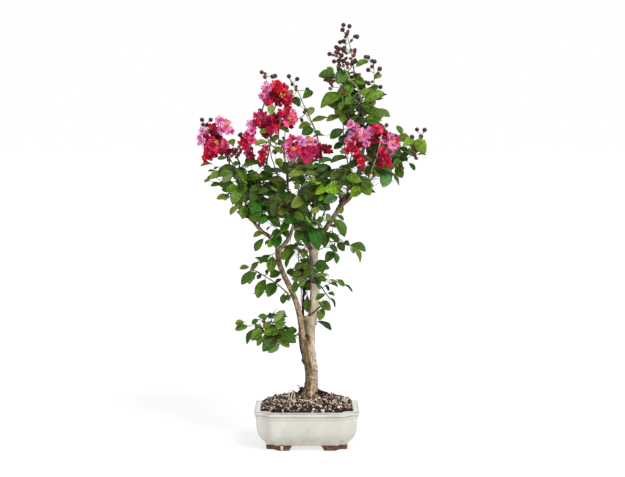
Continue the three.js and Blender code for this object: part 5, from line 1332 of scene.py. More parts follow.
def fill_poly(poly):
    poly = np.asarray(poly, float)
    x0, y0 = np.floor(poly.min(0) * RES).astype(int)
    x1, y1 = np.ceil(poly.max(0) * RES).astype(int) + 1
    x0, y0, x1, y1 = max(x0, 0), max(y0, 0), min(x1, RW), min(y1, RH)
    gx, gy = cx[y0:y1, x0:x1], cy[y0:y1, x0:x1]
    ins = np.zeros(gx.shape, bool)
    for (ax, ay), (bx, by) in zip(poly, np.roll(poly, -1, 0)):
        if ay == by:
            continue
        hit = ((ay > gy) != (by > gy)) & (gx < (bx - ax) * (gy - ay) / (by - ay) + ax)
        ins ^= hit
    return (slice(y0, y1), slice(x0, x1)), ins


for region_ in (
    INSIDE,
    [(297, 262), (303, 256), (312, 257), (322, 261), (331, 267), (332, 276), (327, 286), (318, 290), (312, 296), (306, 290), (300, 287), (295, 280), (293, 270)],
    [(262, 319), (270, 312), (283, 311), (284, 321), (282, 329), (294, 330), (295, 336), (293, 342), (285, 346), (274, 350), (262, 348), (256, 341), (252, 338), (256, 330)],
    [(303, 296), (311, 296), (311, 312), (304, 312)], [(317, 296), (330, 293), (333, 302), (328, 312), (322, 320), (317, 318)],
    [(324, 250), (338, 248), (337, 262), (326, 262)], [(343, 96), (356, 84), (370, 92), (382, 96), (372, 106), (386, 116), (376, 126), (356, 124), (340, 120), (334, 108)],
    [(336, 76), (356, 72), (364, 82), (348, 92), (338, 88)], [(340, 136), (348, 136), (350, 146), (343, 150), (338, 146)],
):
    sl, ins = fill_poly(region_)
    allowed[sl] |= ins

LEAF_RATIO = 0.54
MASSES = {n: bpy.data.objects[n] for n in [o.name for o in bpy.data.objects] if n.startswith(("foliage_", "blossom_", "shoot_middle", "buds_")) and n != "shoot_middle_foot"}


def node_tree_of(ob):
    me = ob.data
    w = np.zeros(len(me.vertices) * 3, np.float32)
    me.vertices.foreach_get("co", w)
    w = w.reshape(-1, 3)
    m = np.array(ob.matrix_world)
    w = w @ m[:3, :3].T + m[:3, 3]
    w = w * 1000 - OFF
    polys = [tuple(p.vertices) for p in me.polygons]
    return w, BVHTree.FromPolygons([tuple(p) for p in w], polys)


TREES = {n: node_tree_of(o) for n, o in MASSES.items()}


def inside(tree, p):
    """How deep the point lies under the skin of the mass, negative outside."""
    hit, nrm_, _, dist = tree.find_nearest(Vector(p))
    if hit is None:
        return -1e9
    return dist if (Vector(p) - hit).dot(nrm_) < 0 else -dist


LEAVES = []  # base, tip axis (unit), normal, length, width, tone, bend, twist, fold, wave, home


def leaf_profile(u):
    """Half width along the blade: widest before the middle, drawn out to a point."""
    s_ = u**0.66 * (1 - u) ** 0.72 * (1 + 0.10 * np.sin(np.pi * u))
    return s_ / (0.46**0.66 * 0.54**0.72 * (1 + 0.10 * math.sin(math.pi * 0.46))) * 1.0


def leaf_outline_px(base, axis, nrm_, length, width, n=9):
    side_ = np.cross(axis, nrm_)
    u = np.linspace(0, 1, n)
    s_ = leaf_profile(u)
    left = base + axis * (u * length)[:, None] + side_ * (s_ * width / 2)[:, None]
    right = base + axis * (u * length)[:, None] - side_ * (s_ * width / 2)[:, None]
    return project(np.vstack([left, right[::-1]]))


rl = np.random.RandomState(7781)
for region, (depth, rowsr) in HERO.items():
    for bx, by, tx, ty, w, tone in rowsr:
        y0 = depth + rl.uniform(-14, 14)
        a0 = at(bx, by, y0)
        b0 = at(tx, ty, y0)
        plen = np.linalg.norm(b0 - a0)
        pw = w * 2.15
        ratio = LEAF_RATIO * rl.uniform(0.94, 1.1)
        L = max(plen * 1.03, min(pw / ratio, 50.0))
        L = min(L, max(plen * 1.03, 50.0))
        dy = math.sqrt(max(L * L - plen * plen, 0.0))
        dy = min(dy, plen * 1.6)
        falls = (ty - by) > -2.5
        if tone == "G":
            falls = not falls
        y1 = y0 - dy if falls else y0 + dy
        b1 = at(tx, ty, y1)
        axis = unit(b1 - a0)
        L = float(np.linalg.norm(b1 - a0))
        W = max(L * ratio, pw)
        W = min(W, max(pw, L * 0.66))
        # face: square to the axis and as far towards the eye as it goes, rolled so that its width shows as measured
        eye_dir = unit(EYE - (a0 + b1) / 2)
        face = unit(eye_dir - axis * (eye_dir @ axis))
        roll = math.acos(min(1.0, pw / W))
        other = np.cross(axis, face)
        cand = [face * math.cos(roll) + other * math.sin(roll), face * math.cos(roll) - other * math.sin(roll)]
        nrm_ = max(cand, key=lambda c: c[2])
        if tone == "G":
            nrm_ = -nrm_
        LEAVES.append([a0, axis, nrm_, L, W, tone, rl.uniform(0.3, 1.15), rl.uniform(-0.3, 0.3), rl.uniform(0.1, 0.5), rl.uniform(0, 6.3), None, region])
        sl, ins = fill_poly(leaf_outline_px(a0, axis, nrm_, L, W))
        allowed[sl] |= ins
        hy = hero_y[sl]
        hy[ins] = np.minimum(hy[ins], min(y0, y1))
        hero_y[sl] = hy
flower_list = []
for group, depth, text in FLOWERS:
    for item in text.split():
        a, b, r, kind = item.strip("()").split(",")
        flower_list.append([group, float(a), float(b), float(r), kind, depth])
for group, a, b, r, kind, depth in flower_list:
    sl, ins = fill_poly([(a + r * 0.92 * math.cos(t), b + r * 0.92 * math.sin(t)) for t in np.linspace(0, 2 * math.pi, 16, endpoint=False)])
    allowed[sl] |= ins
    hy = hero_y[sl]
    hy[ins] = np.minimum(hy[ins], depth)
    hero_y[sl] = hy
for a, b, r in SKY:
    sl, ins = fill_poly([(a + r * math.cos(t), b + r * math.sin(t)) for t in np.linspace(0, 2 * math.pi, 14, endpoint=False)])
    al = allowed[sl]
    al[ins] = False
    allowed[sl] = al


def shows_well(base, axis, nrm_, length, width, need=0.84):
    """Whether a leaf in this place keeps within the seen outline, leaves the gaps open and stays behind the leaves that are drawn."""
    pts = leaf_outline_px(base, axis, nrm_, length, width, 7)
    mid = project(base + axis * (np.array([0.25, 0.5, 0.75]) * length)[:, None])
    allp = np.vstack([pts, mid])
    ix = np.clip((allp[:, 0] * RES).astype(int), 0, RW - 1)
    iy = np.clip((allp[:, 1] * RES).astype(int), 0, RH - 1)
    ok = allowed[iy, ix]
    if ok.mean() < need or not ok[-3:].all():
        return False
    front = hero_y[iy, ix]
    near_y = min(base[1], base[1] + axis[1] * length) - 3.0
    return bool(((near_y > front) | (front > 1e8)).mean() > 0.92)


# ------------------------------------------------------------------ sprays of leaves inside each mass
LEAF_BASES = []
rf = np.random.RandomState(40961)
centres = [l[0] + l[1] * l[3] * 0.5 for l in LEAVES]
SPRAYS = []
ANCHORS = []
for pts, ends in LEADERS:
    ANCHORS.append(np.array(pts, float))
for name in sorted(n for n in MASSES if n.startswith("foliage_") or n == "shoot_middle"):
    verts, tree = TREES[name]
    lo, hi = verts.min(0), verts.max(0)
    c0 = verts.mean(0)
    vol = 0.5 * np.prod(hi - lo)
    want = int(np.clip(vol / (9500.0 if name not in ("foliage_inner_front", "foliage_inner_back") else 8000.0), 8, 105))
    got, tries = 0, 0
    while got < want and tries < want * 44:
        tries += 1
        need = 0.84 if tries < want * 8 else 0.76 if tries < want * 18 else 0.66
        b = rf.uniform(lo, hi)
        if inside(tree, b) < 1.0:
            continue
        out = unit(b - c0 + rf.normal(0, 9, 3))
        d = unit(out * [1, 1, 0.55] + [0, 0, 0.35] + rf.normal(0, 0.28, 3))
        pb = project(b)
        if not allowed[int(np.clip(pb[1] * RES, 0, RH - 1)), int(np.clip(pb[0] * RES, 0, RW - 1))]:
            continue
        k = rf.randint(2, 5)
        step = rf.uniform(11, 16)
        bend = unit(rf.normal(0, 1, 3) + [0, 0, -0.25]) * 0.16
        p, dirn, nodes_ = b.copy(), d.copy(), [b.copy()]
        added = 0
        ref = unit(np.cross(dirn, [0.1, 0.05, 1.0]))
        spin = rf.uniform(-0.5, 0.5)
        young = rf.rand() < 0.08
        for j in range(k):
            p = p + dirn * step
            dirn = unit(dirn + bend)
            if inside(tree, p) < -9:
                break
            nodes_.append(p.copy())
            last_one = j == k - 1
            sides_ = [(1, 0), (-1, 0)] + ([(0, 1)] if last_one else [])
            before = added
            sp = spin + (0.35 if j % 2 else -0.35)
            ref = unit(ref - dirn * (ref @ dirn))
            lift = np.cross(ref, dirn)
            if lift[2] < 0:
                lift = -lift
            for sgn, fwd in sides_:
                across = ref * math.cos(sp) + lift * math.sin(sp)
                axis = unit(dirn * (0.55 if not fwd else 1.0) + across * sgn * rf.uniform(0.75, 1.0) + lift * rf.uniform(-0.05, 0.3) + np.array([0, 0, -0.22]) + rf.normal(0, 0.12, 3))
                L = rf.uniform(27, 45) * (0.8 if last_one and not fwd else 1.0) * (0.86 if young else 1.0)
                W = L * rf.uniform(0.48, 0.6)
                up = unit(np.array([0, 0, 1.0]) + 0.55 * out + rf.normal(0, 0.28, 3))
                nrm_ = unit(up - axis * (up @ axis))
                tip = p + axis * L
                if tip[2] > 806 or abs(tip[0]) > 221 or abs(tip[1]) > 152:
                    continue
                mid = p + axis * L * 0.55
                if inside(tree, mid) < -7 or inside(tree, tip) < -16:
                    continue
                if not shows_well(p, axis, nrm_, L, W, need):
                    continue
                gap = np.linalg.norm(np.array(centres) - (p + axis * L * 0.5), axis=1).min()
                if gap < 9.5:
                    continue
                r = rf.rand()
                tone = ("Y" if r < 0.25 else "L" if r < 0.75 else "M") if young else ("D" if r < 0.34 else "M" if r < 0.62 else "O" if r < 0.74 else "B" if r < 0.86 else "K" if r < 0.94 else "L")
                LEAVES.append([p.copy(), axis, nrm_, L, W, tone, rf.uniform(0.2, 0.8), rf.uniform(-0.3, 0.3), rf.uniform(0.05, 0.4), rf.uniform(0, 6.3), name, "fill"])
                centres.append(p + axis * L * 0.5)
                added += 1
            if added > before:
                last_leafy = len(nodes_)
        if added:
            SPRAYS.append(np.array(nodes_[:last_leafy]))
            got += added
    print("spray", name, want, got, tries)

# ------------------------------------------------------------------ flowers and buds: where they sit
# W, the darkest red, also paints the shade on flowers that sit deep in the clusters
PETAL_COLOURS = {
    "C": ("#d8224d", "#b8143b", "#ea4672"), "R": ("#e92442", "#ce1836", "#f44866"), "P": ("#f084bd", "#e769ab", "#f9a6d3"), "L": ("#f3a5da", "#ea8ecb", "#f9c1e7"),
    "H": ("#e23c76", "#cb2562", "#ee6694"), "M": ("#bb2257", "#9b1545", "#d64679"), "W": ("#8c0c2c", "#6a081f", "#ab1a41"),
}
BLOSSOM_GROUP = {"far_left": ["blossom_far_left"], "left_top": ["blossom_left_top"], "left_upper": ["blossom_left_upper"], "left_lower": ["blossom_left_lower"], "centre": ["blossom_centre"], "right": ["blossom_right"]}
FLOW = []  # centre, facing, radius mm, kind, home
rb = np.random.RandomState(5113)
for group, a, b, r, kind, depth in flower_list:
    home = BLOSSOM_GROUP[group][0]
    w, tree = TREES[home]
    cc = w.mean(0)
    c = at(a, b, depth + rb.uniform(-13, 13))
    ctr = project(cc)
    n_ = unit(np.array([(a - ctr[0]) / 40.0 + rb.normal(0, 0.22), -1.0, -(b - ctr[1]) / 46.0 + 0.2 + rb.normal(0, 0.22)]))
    FLOW.append([c, n_, r * 1.93, kind, home])
for home in sorted(n for n in MASSES if n.startswith("blossom_")):
    w, tree = TREES[home]
    lo, hi = w.min(0), w.max(0)
    cc = w.mean(0)
    want = int(np.clip(0.5 * np.prod(hi - lo) / 26000.0, 6, 18))
    kinds = [k for g_, a, b, r, k, d in flower_list if BLOSSOM_GROUP[g_][0] == home] or ["C", "R", "P", "H", "M", "W", "P"]
    got, tries = 0, 0
    while got < want and tries < 2500:
        tries += 1
        p = rb.uniform(lo, hi)
        dep = inside(tree, p)
        if dep < 2 or dep > 22:
            continue
        R = rb.uniform(11.5, 16.5)
        pp = project(p)
        ring_ = np.array([(pp[0] + R / 1.91 * 0.8 * math.cos(t), pp[1] + R / 1.91 * 0.8 * math.sin(t)) for t in np.linspace(0, 6.283, 12, endpoint=False)] + [pp])
        ix = np.clip((ring_[:, 0] * RES).astype(int), 0, RW - 1)
        iy = np.clip((ring_[:, 1] * RES).astype(int), 0, RH - 1)
        if allowed[iy, ix].mean() < 0.9:
            continue
        hf = hero_y[iy, ix]
        if not ((p[1] - 10 > hf) | (hf > 1e8)).all() and "back" not in home:
            continue
        if min(np.linalg.norm(f[0] - p) for f in FLOW) < 19:
            continue
        n_ = unit((p - cc) * [1, 1.2, 0.8] + np.array([0, 6, 6]) + rb.normal(0, 5, 3))
        FLOW.append([p, n_, R, kinds[rb.randint(len(kinds))].strip("*") + ("*" if rb.rand() < 0.5 else ""), home])
        got += 1
    print("flowers", home, want, got)

# ------------------------------------------------------------------ twigs: one tree that reaches every spray, leaf, flower and bud
SEG = []  # finished tubes: path, radius along it, kind
pool_p, pool_len, pool_dir, pool_r = [], [], [], []


def into_pool(path, start_len, radius):
    path = np.asarray(path, float)
    d = unit(np.gradient(path, axis=0)) if len(path) > 1 else np.array([[0, 0, 1.0]])
    s = np.concatenate([[0], np.cumsum(np.linalg.norm(np.diff(path, axis=0), axis=1))])
    for q, dd, ss, rr in zip(path, d, s, np.broadcast_to(radius, (len(path),))):
        pool_p.append(q)
        pool_dir.append(dd)
        pool_len.append(start_len + ss)
        pool_r.append(rr)


for name, pts in LIMBS.items():
    if name == "trunk":
        continue
    path = spline(pts, 6.0)
    keep = path[:, 2] > 300 if name in ("right_stem", "left_bough") else path[:, 2] > 0
    path = path[keep]
    into_pool(path[:, :3], 0.45 * (path[0, 2] - 200), path[:, 3])


def wander(path, amount, seed):
    w_ = np.stack([fbm(path + 31 * k, 26.0, seed + k, 3) for k in range(3)], 1) * amount
    t_ = np.linspace(0, 1, len(path))[:, None]
    return path + w_ * np.minimum(1, np.minimum(t_, 1 - t_ * 0.2) * 6)


rw_ = np.random.RandomState(91)
for i, (px, depths, radii) in enumerate(STEMS):
    px = np.array(px, float)
    s = np.concatenate([[0], np.cumsum(np.linalg.norm(np.diff(px, axis=0), axis=1))])
    ys = np.interp(s / s[-1], [0, 1], depths)
    rs = np.interp(s / s[-1], [0, 1], radii)
    pts = np.array([[*at(a, b, y), r] for (a, b), y, r in zip(px, ys, rs)])
    path = spline(pts, 3.0)
    pp = wander(path[:, :3], 0.9, 300 + 7 * i)
    SEG.append((pp, path[:, 3], "stem"))
    into_pool(pp[::2], 60.0, path[::2, 3])
for i, (pts, radii) in enumerate(LEADERS):
    path = spline(np.array(pts, float), 4.0)
    rs = np.linspace(radii[0], radii[1], len(path))
    pp = wander(path, 2.2, 700 + 7 * i)
    SEG.append((pp, rs, "stem"))
    into_pool(pp, 60.0, rs)

targets = []  # (first point, chain of further points, weight, kind)
for ch in SPRAYS:
    targets.append((ch[0], ch[1:], 3.0, "spray"))
for lf in LEAVES:
    if lf[11] != "fill":
        targets.append((lf[0] - lf[1] * lf[3] * 0.075, np.zeros((0, 3)), 1.0, "leaf"))
for c, n_, R, kind, home in FLOW:
    foot_ = c - n_ * R * 0.42 + np.array([0, 0, -1.5])
    targets.append((foot_, np.zeros((0, 3)), 1.5, "flower"))
BUD_AT, POD_AT = [], []
stem_px = [(project(p_), p_) for p_, _, kind in SEG if kind == "stem"]
allpx = np.vstack([a for a, _ in stem_px])
all3 = np.vstack([b for _, b in stem_px])
for kind, rows_, store in (("bud", BUDS, BUD_AT), ("pod", PODS, POD_AT)):
    for a, b in rows_:
        j = np.linalg.norm(allpx - [a, b], axis=1).argmin()
        y = all3[j, 1] + rb.uniform(-11, 9)
        c = at(a, b, y)
        toward = unit(c - all3[j] + [0, 0, 6.0])
        store.append((c, toward))
        targets.append((c - toward * 4.0, np.zeros((0, 3)), 0.6, kind))

T0 = np.array([t[0] for t in targets])
ALPHA = 0.20
best = np.full(len(targets), 1e18)
parent = np.zeros(len(targets), int)


def improve(start):
    P = np.array(pool_p[start:])
    Lq = np.array(pool_len[start:])
    D = np.array(pool_dir[start:])
    for a in range(0, len(P), 256):
        v_ = T0[:, None] - P[None, a : a + 256]
        dist = np.linalg.norm(v_, axis=2)
        cosang = np.einsum("ijk,jk->ij", v_, D[a : a + 256]) / np.maximum(dist, 1e-6)
        cost = dist * (1.12 - 0.22 * cosang) + ALPHA * Lq[None, a : a + 256]
        j = cost.argmin(1)
        c_ = cost[np.arange(len(T0)), j]
        better = c_ < best
        best[better] = c_[better]
        parent[better] = start + a + j[better]


improve(0)
done = np.zeros(len(targets), bool)
EDGES = []
node_children = {}
for _ in range(len(targets)):
    i = int(np.where(done, 1e18, best).argmin())
    done[i] = True
    p0 = pool_p[parent[i]]
    d0 = pool_dir[parent[i]]
    t0_, chain, weight, kind = targets[i]
    gap = np.linalg.norm(t0_ - p0)
    aim = unit(t0_ - p0)
    d_end = unit(chain[0] - t0_) if len(chain) else unit(aim + [0, 0, 0.15])
    m0 = unit(0.5 * d0 + aim) * gap * 0.9
    m1 = unit(0.7 * d_end + aim) * gap * 0.8
    ns_ = max(3, int(gap / 5.0) + 2)
    t = np.linspace(0, 1, ns_)[:, None]
    path = (2 * t**3 - 3 * t**2 + 1) * p0 + (t**3 - 2 * t**2 + t) * m0 + (-2 * t**3 + 3 * t**2) * t0_ + (t**3 - t**2) * m1
    if gap > 14:
        path = wander(path, 0.9, 1000 + i)
        path[-1] = t0_
    full = np.vstack([path, chain]) if len(chain) else path
    base_len = pool_len[parent[i]]
    first_new = len(pool_p)
    into_pool(full[1:], base_len, 0.5)
    EDGES.append([full, parent[i], first_new, weight, kind])
    improve(first_new)
# load carried by every pool point, from the ends inwards
load = np.zeros(len(pool_p))
for full, par, first_new, weight, kind in reversed(EDGES):
    m = len(full) - 1
    own = np.zeros(m)
    own[-1] += weight
    acc = 0.0
    for j in range(m - 1, -1, -1):
        acc += own[j] + load[first_new + j]
        load[first_new + j] = acc
    load[par] += acc
THIN = {"spray": 0.6, "leaf": 0.5, "flower": 0.6, "bud": 0.8, "pod": 0.62}
twig_mesh, stem_mesh = Mesh(), Mesh()
for full, par, first_new, weight, kind in EDGES:
    r = np.clip(0.40 * np.maximum(load[first_new : first_new + len(full) - 1], 1.0) ** 0.36, THIN[kind] * 0.9, 1.5)
    r = np.concatenate([[r[0] * 1.12], r])
    if kind == "spray":
        r = r * np.linspace(1, 0.8, len(r))
    high = full[:, 2].mean() > 560
    mat = (0 if high else 1) if r.mean() < 0.62 else (2 if not high else 0)
    tube(twig_mesh, full, r, 5 if r.max() < 0.8 else 6, mat)
for i, (path, rs, kind) in enumerate(SEG):
    zmid = path[:, 2].mean()
    rs = rs * (1 + 0.10 * fbm(path, 9.0, 50 + i, 2))
    # slight swelling where leaves once stood
    s = np.concatenate([[0], np.cumsum(np.linalg.norm(np.diff(path, axis=0), axis=1))])
    rs = rs * (1 + 0.14 * np.exp(-(((s % 17.0) - 8.5) ** 2) / 1.6))
    tube(stem_mesh, path, rs, 10 if rs.max() > 1.4 else 7, 3 if len(STEMS) - 4 < i < len(STEMS) else 2 if i in PALE_STEMS else 0 if zmid > 520 else 1)
twig_mats = [principled("twig_pale", lin("#726f55"), 0.6, 0.3), principled("twig_brown", lin("#4d3c26"), 0.6, 0.3), principled("twig_dark", lin("#3a2b1e"), 0.65, 0.3)]
ob = twig_mesh.build("twigs", twig_mats)
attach(ob, "root")
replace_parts(ob, *[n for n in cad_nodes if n.startswith("shoot_") and n != "shoot_middle"])
stem_mat_hi = principled("young_stem", None, 0.6, 0.3)
g = Nodes(stem_mat_hi)
g.link(g.ramp(g.noise(g.coords((1, 1, 0.3)), 500.0, 4, 0.6), [(0.3, lin("#4f4a38")), (0.55, lin("#7d775f")), (0.75, lin("#aaa590"))]), g.out.inputs["Base Color"])
stem_mat_lo = principled("brown_stem", None, 0.65, 0.3)
g = Nodes(stem_mat_lo)
g.link(g.ramp(g.noise(g.coords((1, 1, 0.3)), 500.0, 4, 0.6), [(0.3, lin("#2c2017")), (0.55, lin("#54432f")), (0.75, lin("#7d6a50"))]), g.out.inputs["Base Color"])
stem_mat_tan = principled("pale_stem", None, 0.65, 0.3)
g = Nodes(stem_mat_tan)
g.link(g.ramp(g.noise(g.coords((1, 1, 0.3)), 500.0, 4, 0.6), [(0.3, lin("#8d7a58")), (0.55, lin("#c2b08c")), (0.75, lin("#dccfb2"))]), g.out.inputs["Base Color"])
ob = stem_mesh.build("young_branches", [stem_mat_hi, stem_mat_lo, stem_mat_tan, principled("pale_shoot", lin("#b6b596"), 0.6, 0.25)])
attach(ob, "root")
print("twig edges", len(EDGES), "stems", len(SEG), "sprays", len(SPRAYS))

# ------------------------------------------------------------------ leaves
LEAF_U = np.array([0.0, 0.075, 0.115, 0.18, 0.27, 0.37, 0.48, 0.60, 0.72, 0.83, 0.93, 1.0])
LEAF_C = np.array([-1, -0.66, -0.33, -0.04, 0.04, 0.33, 0.66, 1.0])


def closed_grid(rows, cols):
    """Faces of a thin closed shell: an upper grid and an under grid that share their edges. Gives quads, and how under points are indexed."""
    top = np.arange(rows * cols).reshape(rows, cols)
    bot = top.copy()
    nxt = rows * cols
    for r in range(1, rows - 1):
        for c in range(1, cols - 1):
            bot[r, c] = nxt
            nxt += 1
    up, un = [], []
    for r in range(rows - 1):
        for c in range(cols - 1):
            up.append([top[r, c], top[r, c + 1], top[r + 1, c + 1], top[r + 1, c]])
            un.append([bot[r, c], bot[r + 1, c], bot[r + 1, c + 1], bot[r, c + 1]])
    return np.array(up), np.array(un), nxt


LUP, LUN, LNV = closed_grid(len(LEAF_U), len(LEAF_C))
# the blue tone's bluish green paints the sheen of glossy leaves on top of their green
LEAF_TONES = [
    ("deep", "#33520d", 0.42, 0.22), ("mid", "#496613", 0.45, 0.2), ("light", "#5d7f1a", 0.48, 0.18), ("young", "#6f9c16", 0.5, 0.16),
    ("olive", "#5c6c24", 0.48, 0.18), ("blue", "#4d7740", 0.38, 0.34), ("shade", "#2b440f", 0.46, 0.2), ("vivid", "#265a0a", 0.4, 0.24),
]
LEAF_MATS = []
# painted light and shade: every tone also gets a lit copy (x1.48) and a shaded copy (x0.63)
for n_, c_, r_, s_ in LEAF_TONES:
    for suffix, f_ in (("", 1.0), ("_pale", 1.48), ("_dark", 0.63)):
        LEAF_MATS.append(("leaf_" + n_ + suffix, tuple(np.array(lin(c_)) * f_), r_, s_))
LEAF_MATS += [("rib_pale", lin("#8aa450"), 0.5, 0.2), ("rib_dark", lin("#48691f"), 0.5, 0.2), ("under_pale", lin("#7d9557"), 0.6, 0.16), ("under_mid", lin("#587534"), 0.6, 0.16)]
leaf_mats = [principled(n_, c_, r_, s_) for n_, c_, r_, s_ in LEAF_MATS]
NT = 3 * len(LEAF_TONES)
TONE = {"D": (0, NT + 1, NT + 3), "M": (3, NT + 1, NT + 2), "L": (6, NT, NT + 2), "Y": (9, NT, NT + 2), "O": (12, NT + 1, NT + 3), "B": (15, NT + 1, NT + 3), "K": (18, NT + 1, NT + 3), "G": (3, NT + 1, NT + 2), "V": (21, NT + 1, NT + 3)}


def leaf_block(rows):
    n_ = len(rows)
    base = np.array([r[0] - r[1] * (0.075 * r[3] if r[11] != "fill" else 0.0) for r in rows])
    axis = np.array([r[1] for r in rows])
    nrm_ = np.array([r[2] for r in rows])
    L = np.array([r[3] for r in rows]) * np.where([r[11] != "fill" for r in rows], 1.075, 1.0)
    W = np.array([r[4] for r in rows])
    bend = np.array([r[6] for r in rows])[:, None]
    twist_ = np.array([r[7] for r in rows])[:, None]
    fold = np.array([r[8] for r in rows])[:, None, None]
    wave_ = np.array([r[9] for r in rows])[:, None, None]
    side_ = np.cross(nrm_, axis)
    u = LEAF_U
    ub = np.clip((u - 0.075) / 0.925, 0, 1)
    s_ = leaf_profile(ub)
    half = np.maximum(W[:, None] / 2 * s_, np.where(u < 0.08, 0.5, 0.0))
    half[:, -1] = 0.15
    c = LEAF_C[None, None]
    hw = half[:, :, None]
    seedw = wave_ * 1.0
    slant = 0.05 * L[:, None, None] * np.abs(c) * (s_ * (1 - ub * 0.6))[None, :, None]
    uu = (u[None, :, None] * L[:, None, None] + slant) / L[:, None, None]
    uu = np.minimum(uu, 1.0)
    k = np.maximum(bend, 0.05)
    k3 = k[:, :, None]
    den = 2 * np.sin(k3 / 2)
    along_ = L[:, None, None] * (np.sin(k3 * (uu - 0.5)) + np.sin(k3 / 2)) / den
    rise = L[:, None, None] * (np.cos(k3 * (uu - 0.5)) - np.cos(k3 / 2)) / den
    tx_ = np.cos(k3 * (uu - 0.5))
    tz_ = -np.sin(k3 * (uu - 0.5))
    ridge = np.where(np.arange(len(u)) % 2, 1.0, -1.0)[None, :, None] * (np.abs(c) * (1 - np.abs(c)) * 4) * 0.26 * s_[None, :, None]
    edge_w = 0.085 * hw * np.abs(c) ** 2 * np.sin(2 * np.pi * 1.7 * u[None, :, None] + seedw + 1.4 * np.sign(c))
    lobe = 0.02 * L[:, None, None] * np.sin(3.1 * u[None, :, None] + seedw * 2)
    h = fold * hw * np.abs(c) - 0.16 * hw * np.abs(c) ** 2.2 + ridge + edge_w - 0.34 * (np.abs(c) < 0.1) * s_[None, :, None] + lobe * np.sin(np.pi * u)[None, :, None]
    tw = (twist_ * (u[None] - 0.5))[:, :, None]
    lat = hw * c * np.cos(tw)
    h = h + hw * c * np.sin(tw)

    def place(hh):
        return base[:, None, None] + axis[:, None, None] * (along_ - tz_ * 0 + hh * (-tz_) * -1)[..., None] + side_[:, None, None] * lat[..., None] + nrm_[:, None, None] * (rise + hh * tx_)[..., None]

    upv = np.array([0, 0, 1.0])
    inplane = upv - axis * (axis @ upv)[:, None] - nrm_ * (nrm_ @ upv)[:, None]
    bow = np.where([r[11] != "fill" for r in rows], 0.075, 0.06)[:, None] * L[:, None] * np.sin(np.pi * np.clip(ub, 0, 1))[None] ** 1.1
    bow_v = inplane[:, None, None] * bow[:, :, None, None]
    top = place(h) + bow_v
    und = (place(h - 0.34) + bow_v)[:, 1:-1, 1:-1]
    v_ = np.concatenate([top.reshape(n_, -1, 3), und.reshape(n_, -1, 3)], 1)
    tone = np.array([TONE[r[5]] for r in rows])
    ncell = len(LUP)
    colcell = np.tile(np.arange(len(LEAF_C) - 1), len(LEAF_U) - 1)
    rowcell = np.repeat(np.arange(len(LEAF_U) - 1), len(LEAF_C) - 1)
    rib = (colcell == 3) | (rowcell == 0)
    # painted light and shade: the two halves take the light differently, and the rims and the stripes between the side
    # veins get painted highlights, from the lit and shaded copies of each tone
    rk = np.random.RandomState(n_ * 7 + 5)
    level = rk.normal(0, 0.62, (n_, 1)) + np.where(colcell[None] < 3, 1, -1) * rk.normal(0, 0.42, (n_, 1))
    level = level + ((rowcell % 2) * 0.75 - 0.35)[None] * rk.uniform(0.3, 1.0, (n_, 1)) + ((colcell == 0) | (colcell == 6))[None] * rk.uniform(0, 0.9, (n_, 1)) + rk.normal(0, 0.22, (n_, ncell))
    strength = np.where(level > 0.62, 1, np.where(level < -0.62, 2, 0))
    mt = np.where(rib[None], tone[:, 1:2], tone[:, 0:1] + strength)
    mu = np.broadcast_to(tone[:, 2:3], (n_, ncell))
    off_ = (np.arange(n_) * LNV)[:, None, None]
    # the upper side faces along the normal
    quads = np.concatenate([LUP[None, :, ::-1] + off_, LUN[None, :, ::-1] + off_], 1).reshape(-1, 4)
    return v_.reshape(-1, 3), quads, np.concatenate([mt, mu], 1).ravel()


homes = {}
fol = sorted(n for n in MASSES if n.startswith("foliage_") or n == "shoot_middle")
for lf in LEAVES:
    if lf[10] is None:
        mid = lf[0] + lf[1] * lf[3] * 0.5
        lf[10] = max(fol, key=lambda n: inside(TREES[n][1], mid))
    homes.setdefault(lf[10], []).append(lf)
total_leaves = 0
for name in fol:
    rows_ = homes.get(name, [])
    total_leaves += len(rows_)
    if not rows_:
        continue
    m = Mesh()
    v_, q_, mi = leaf_block(rows_)
    m.add(v_, q_, None, mi)
    ob = m.build("leaves_" + name.replace("foliage_", ""), leaf_mats)
    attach(ob, "root")
    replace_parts(ob, name)
print("leaves", total_leaves)

# ------------------------------------------------------------------ flowers
PET_U = np.array([0.10, 0.20, 0.30, 0.42, 0.56, 0.71, 0.86, 1.0])
PET_C = np.linspace(-1, 1, 9)
PUP, PUN, PNV = closed_grid(len(PET_U), len(PET_C))
petal_mats, PM = [], {}
for kind, cols in PETAL_COLOURS.items():
    PM[kind] = []
    for j, c_ in enumerate(cols):
        PM[kind].append(len(petal_mats))
        petal_mats.append(principled(f"petal_{kind}_{j}", lin(c_), 0.65, 0.12))


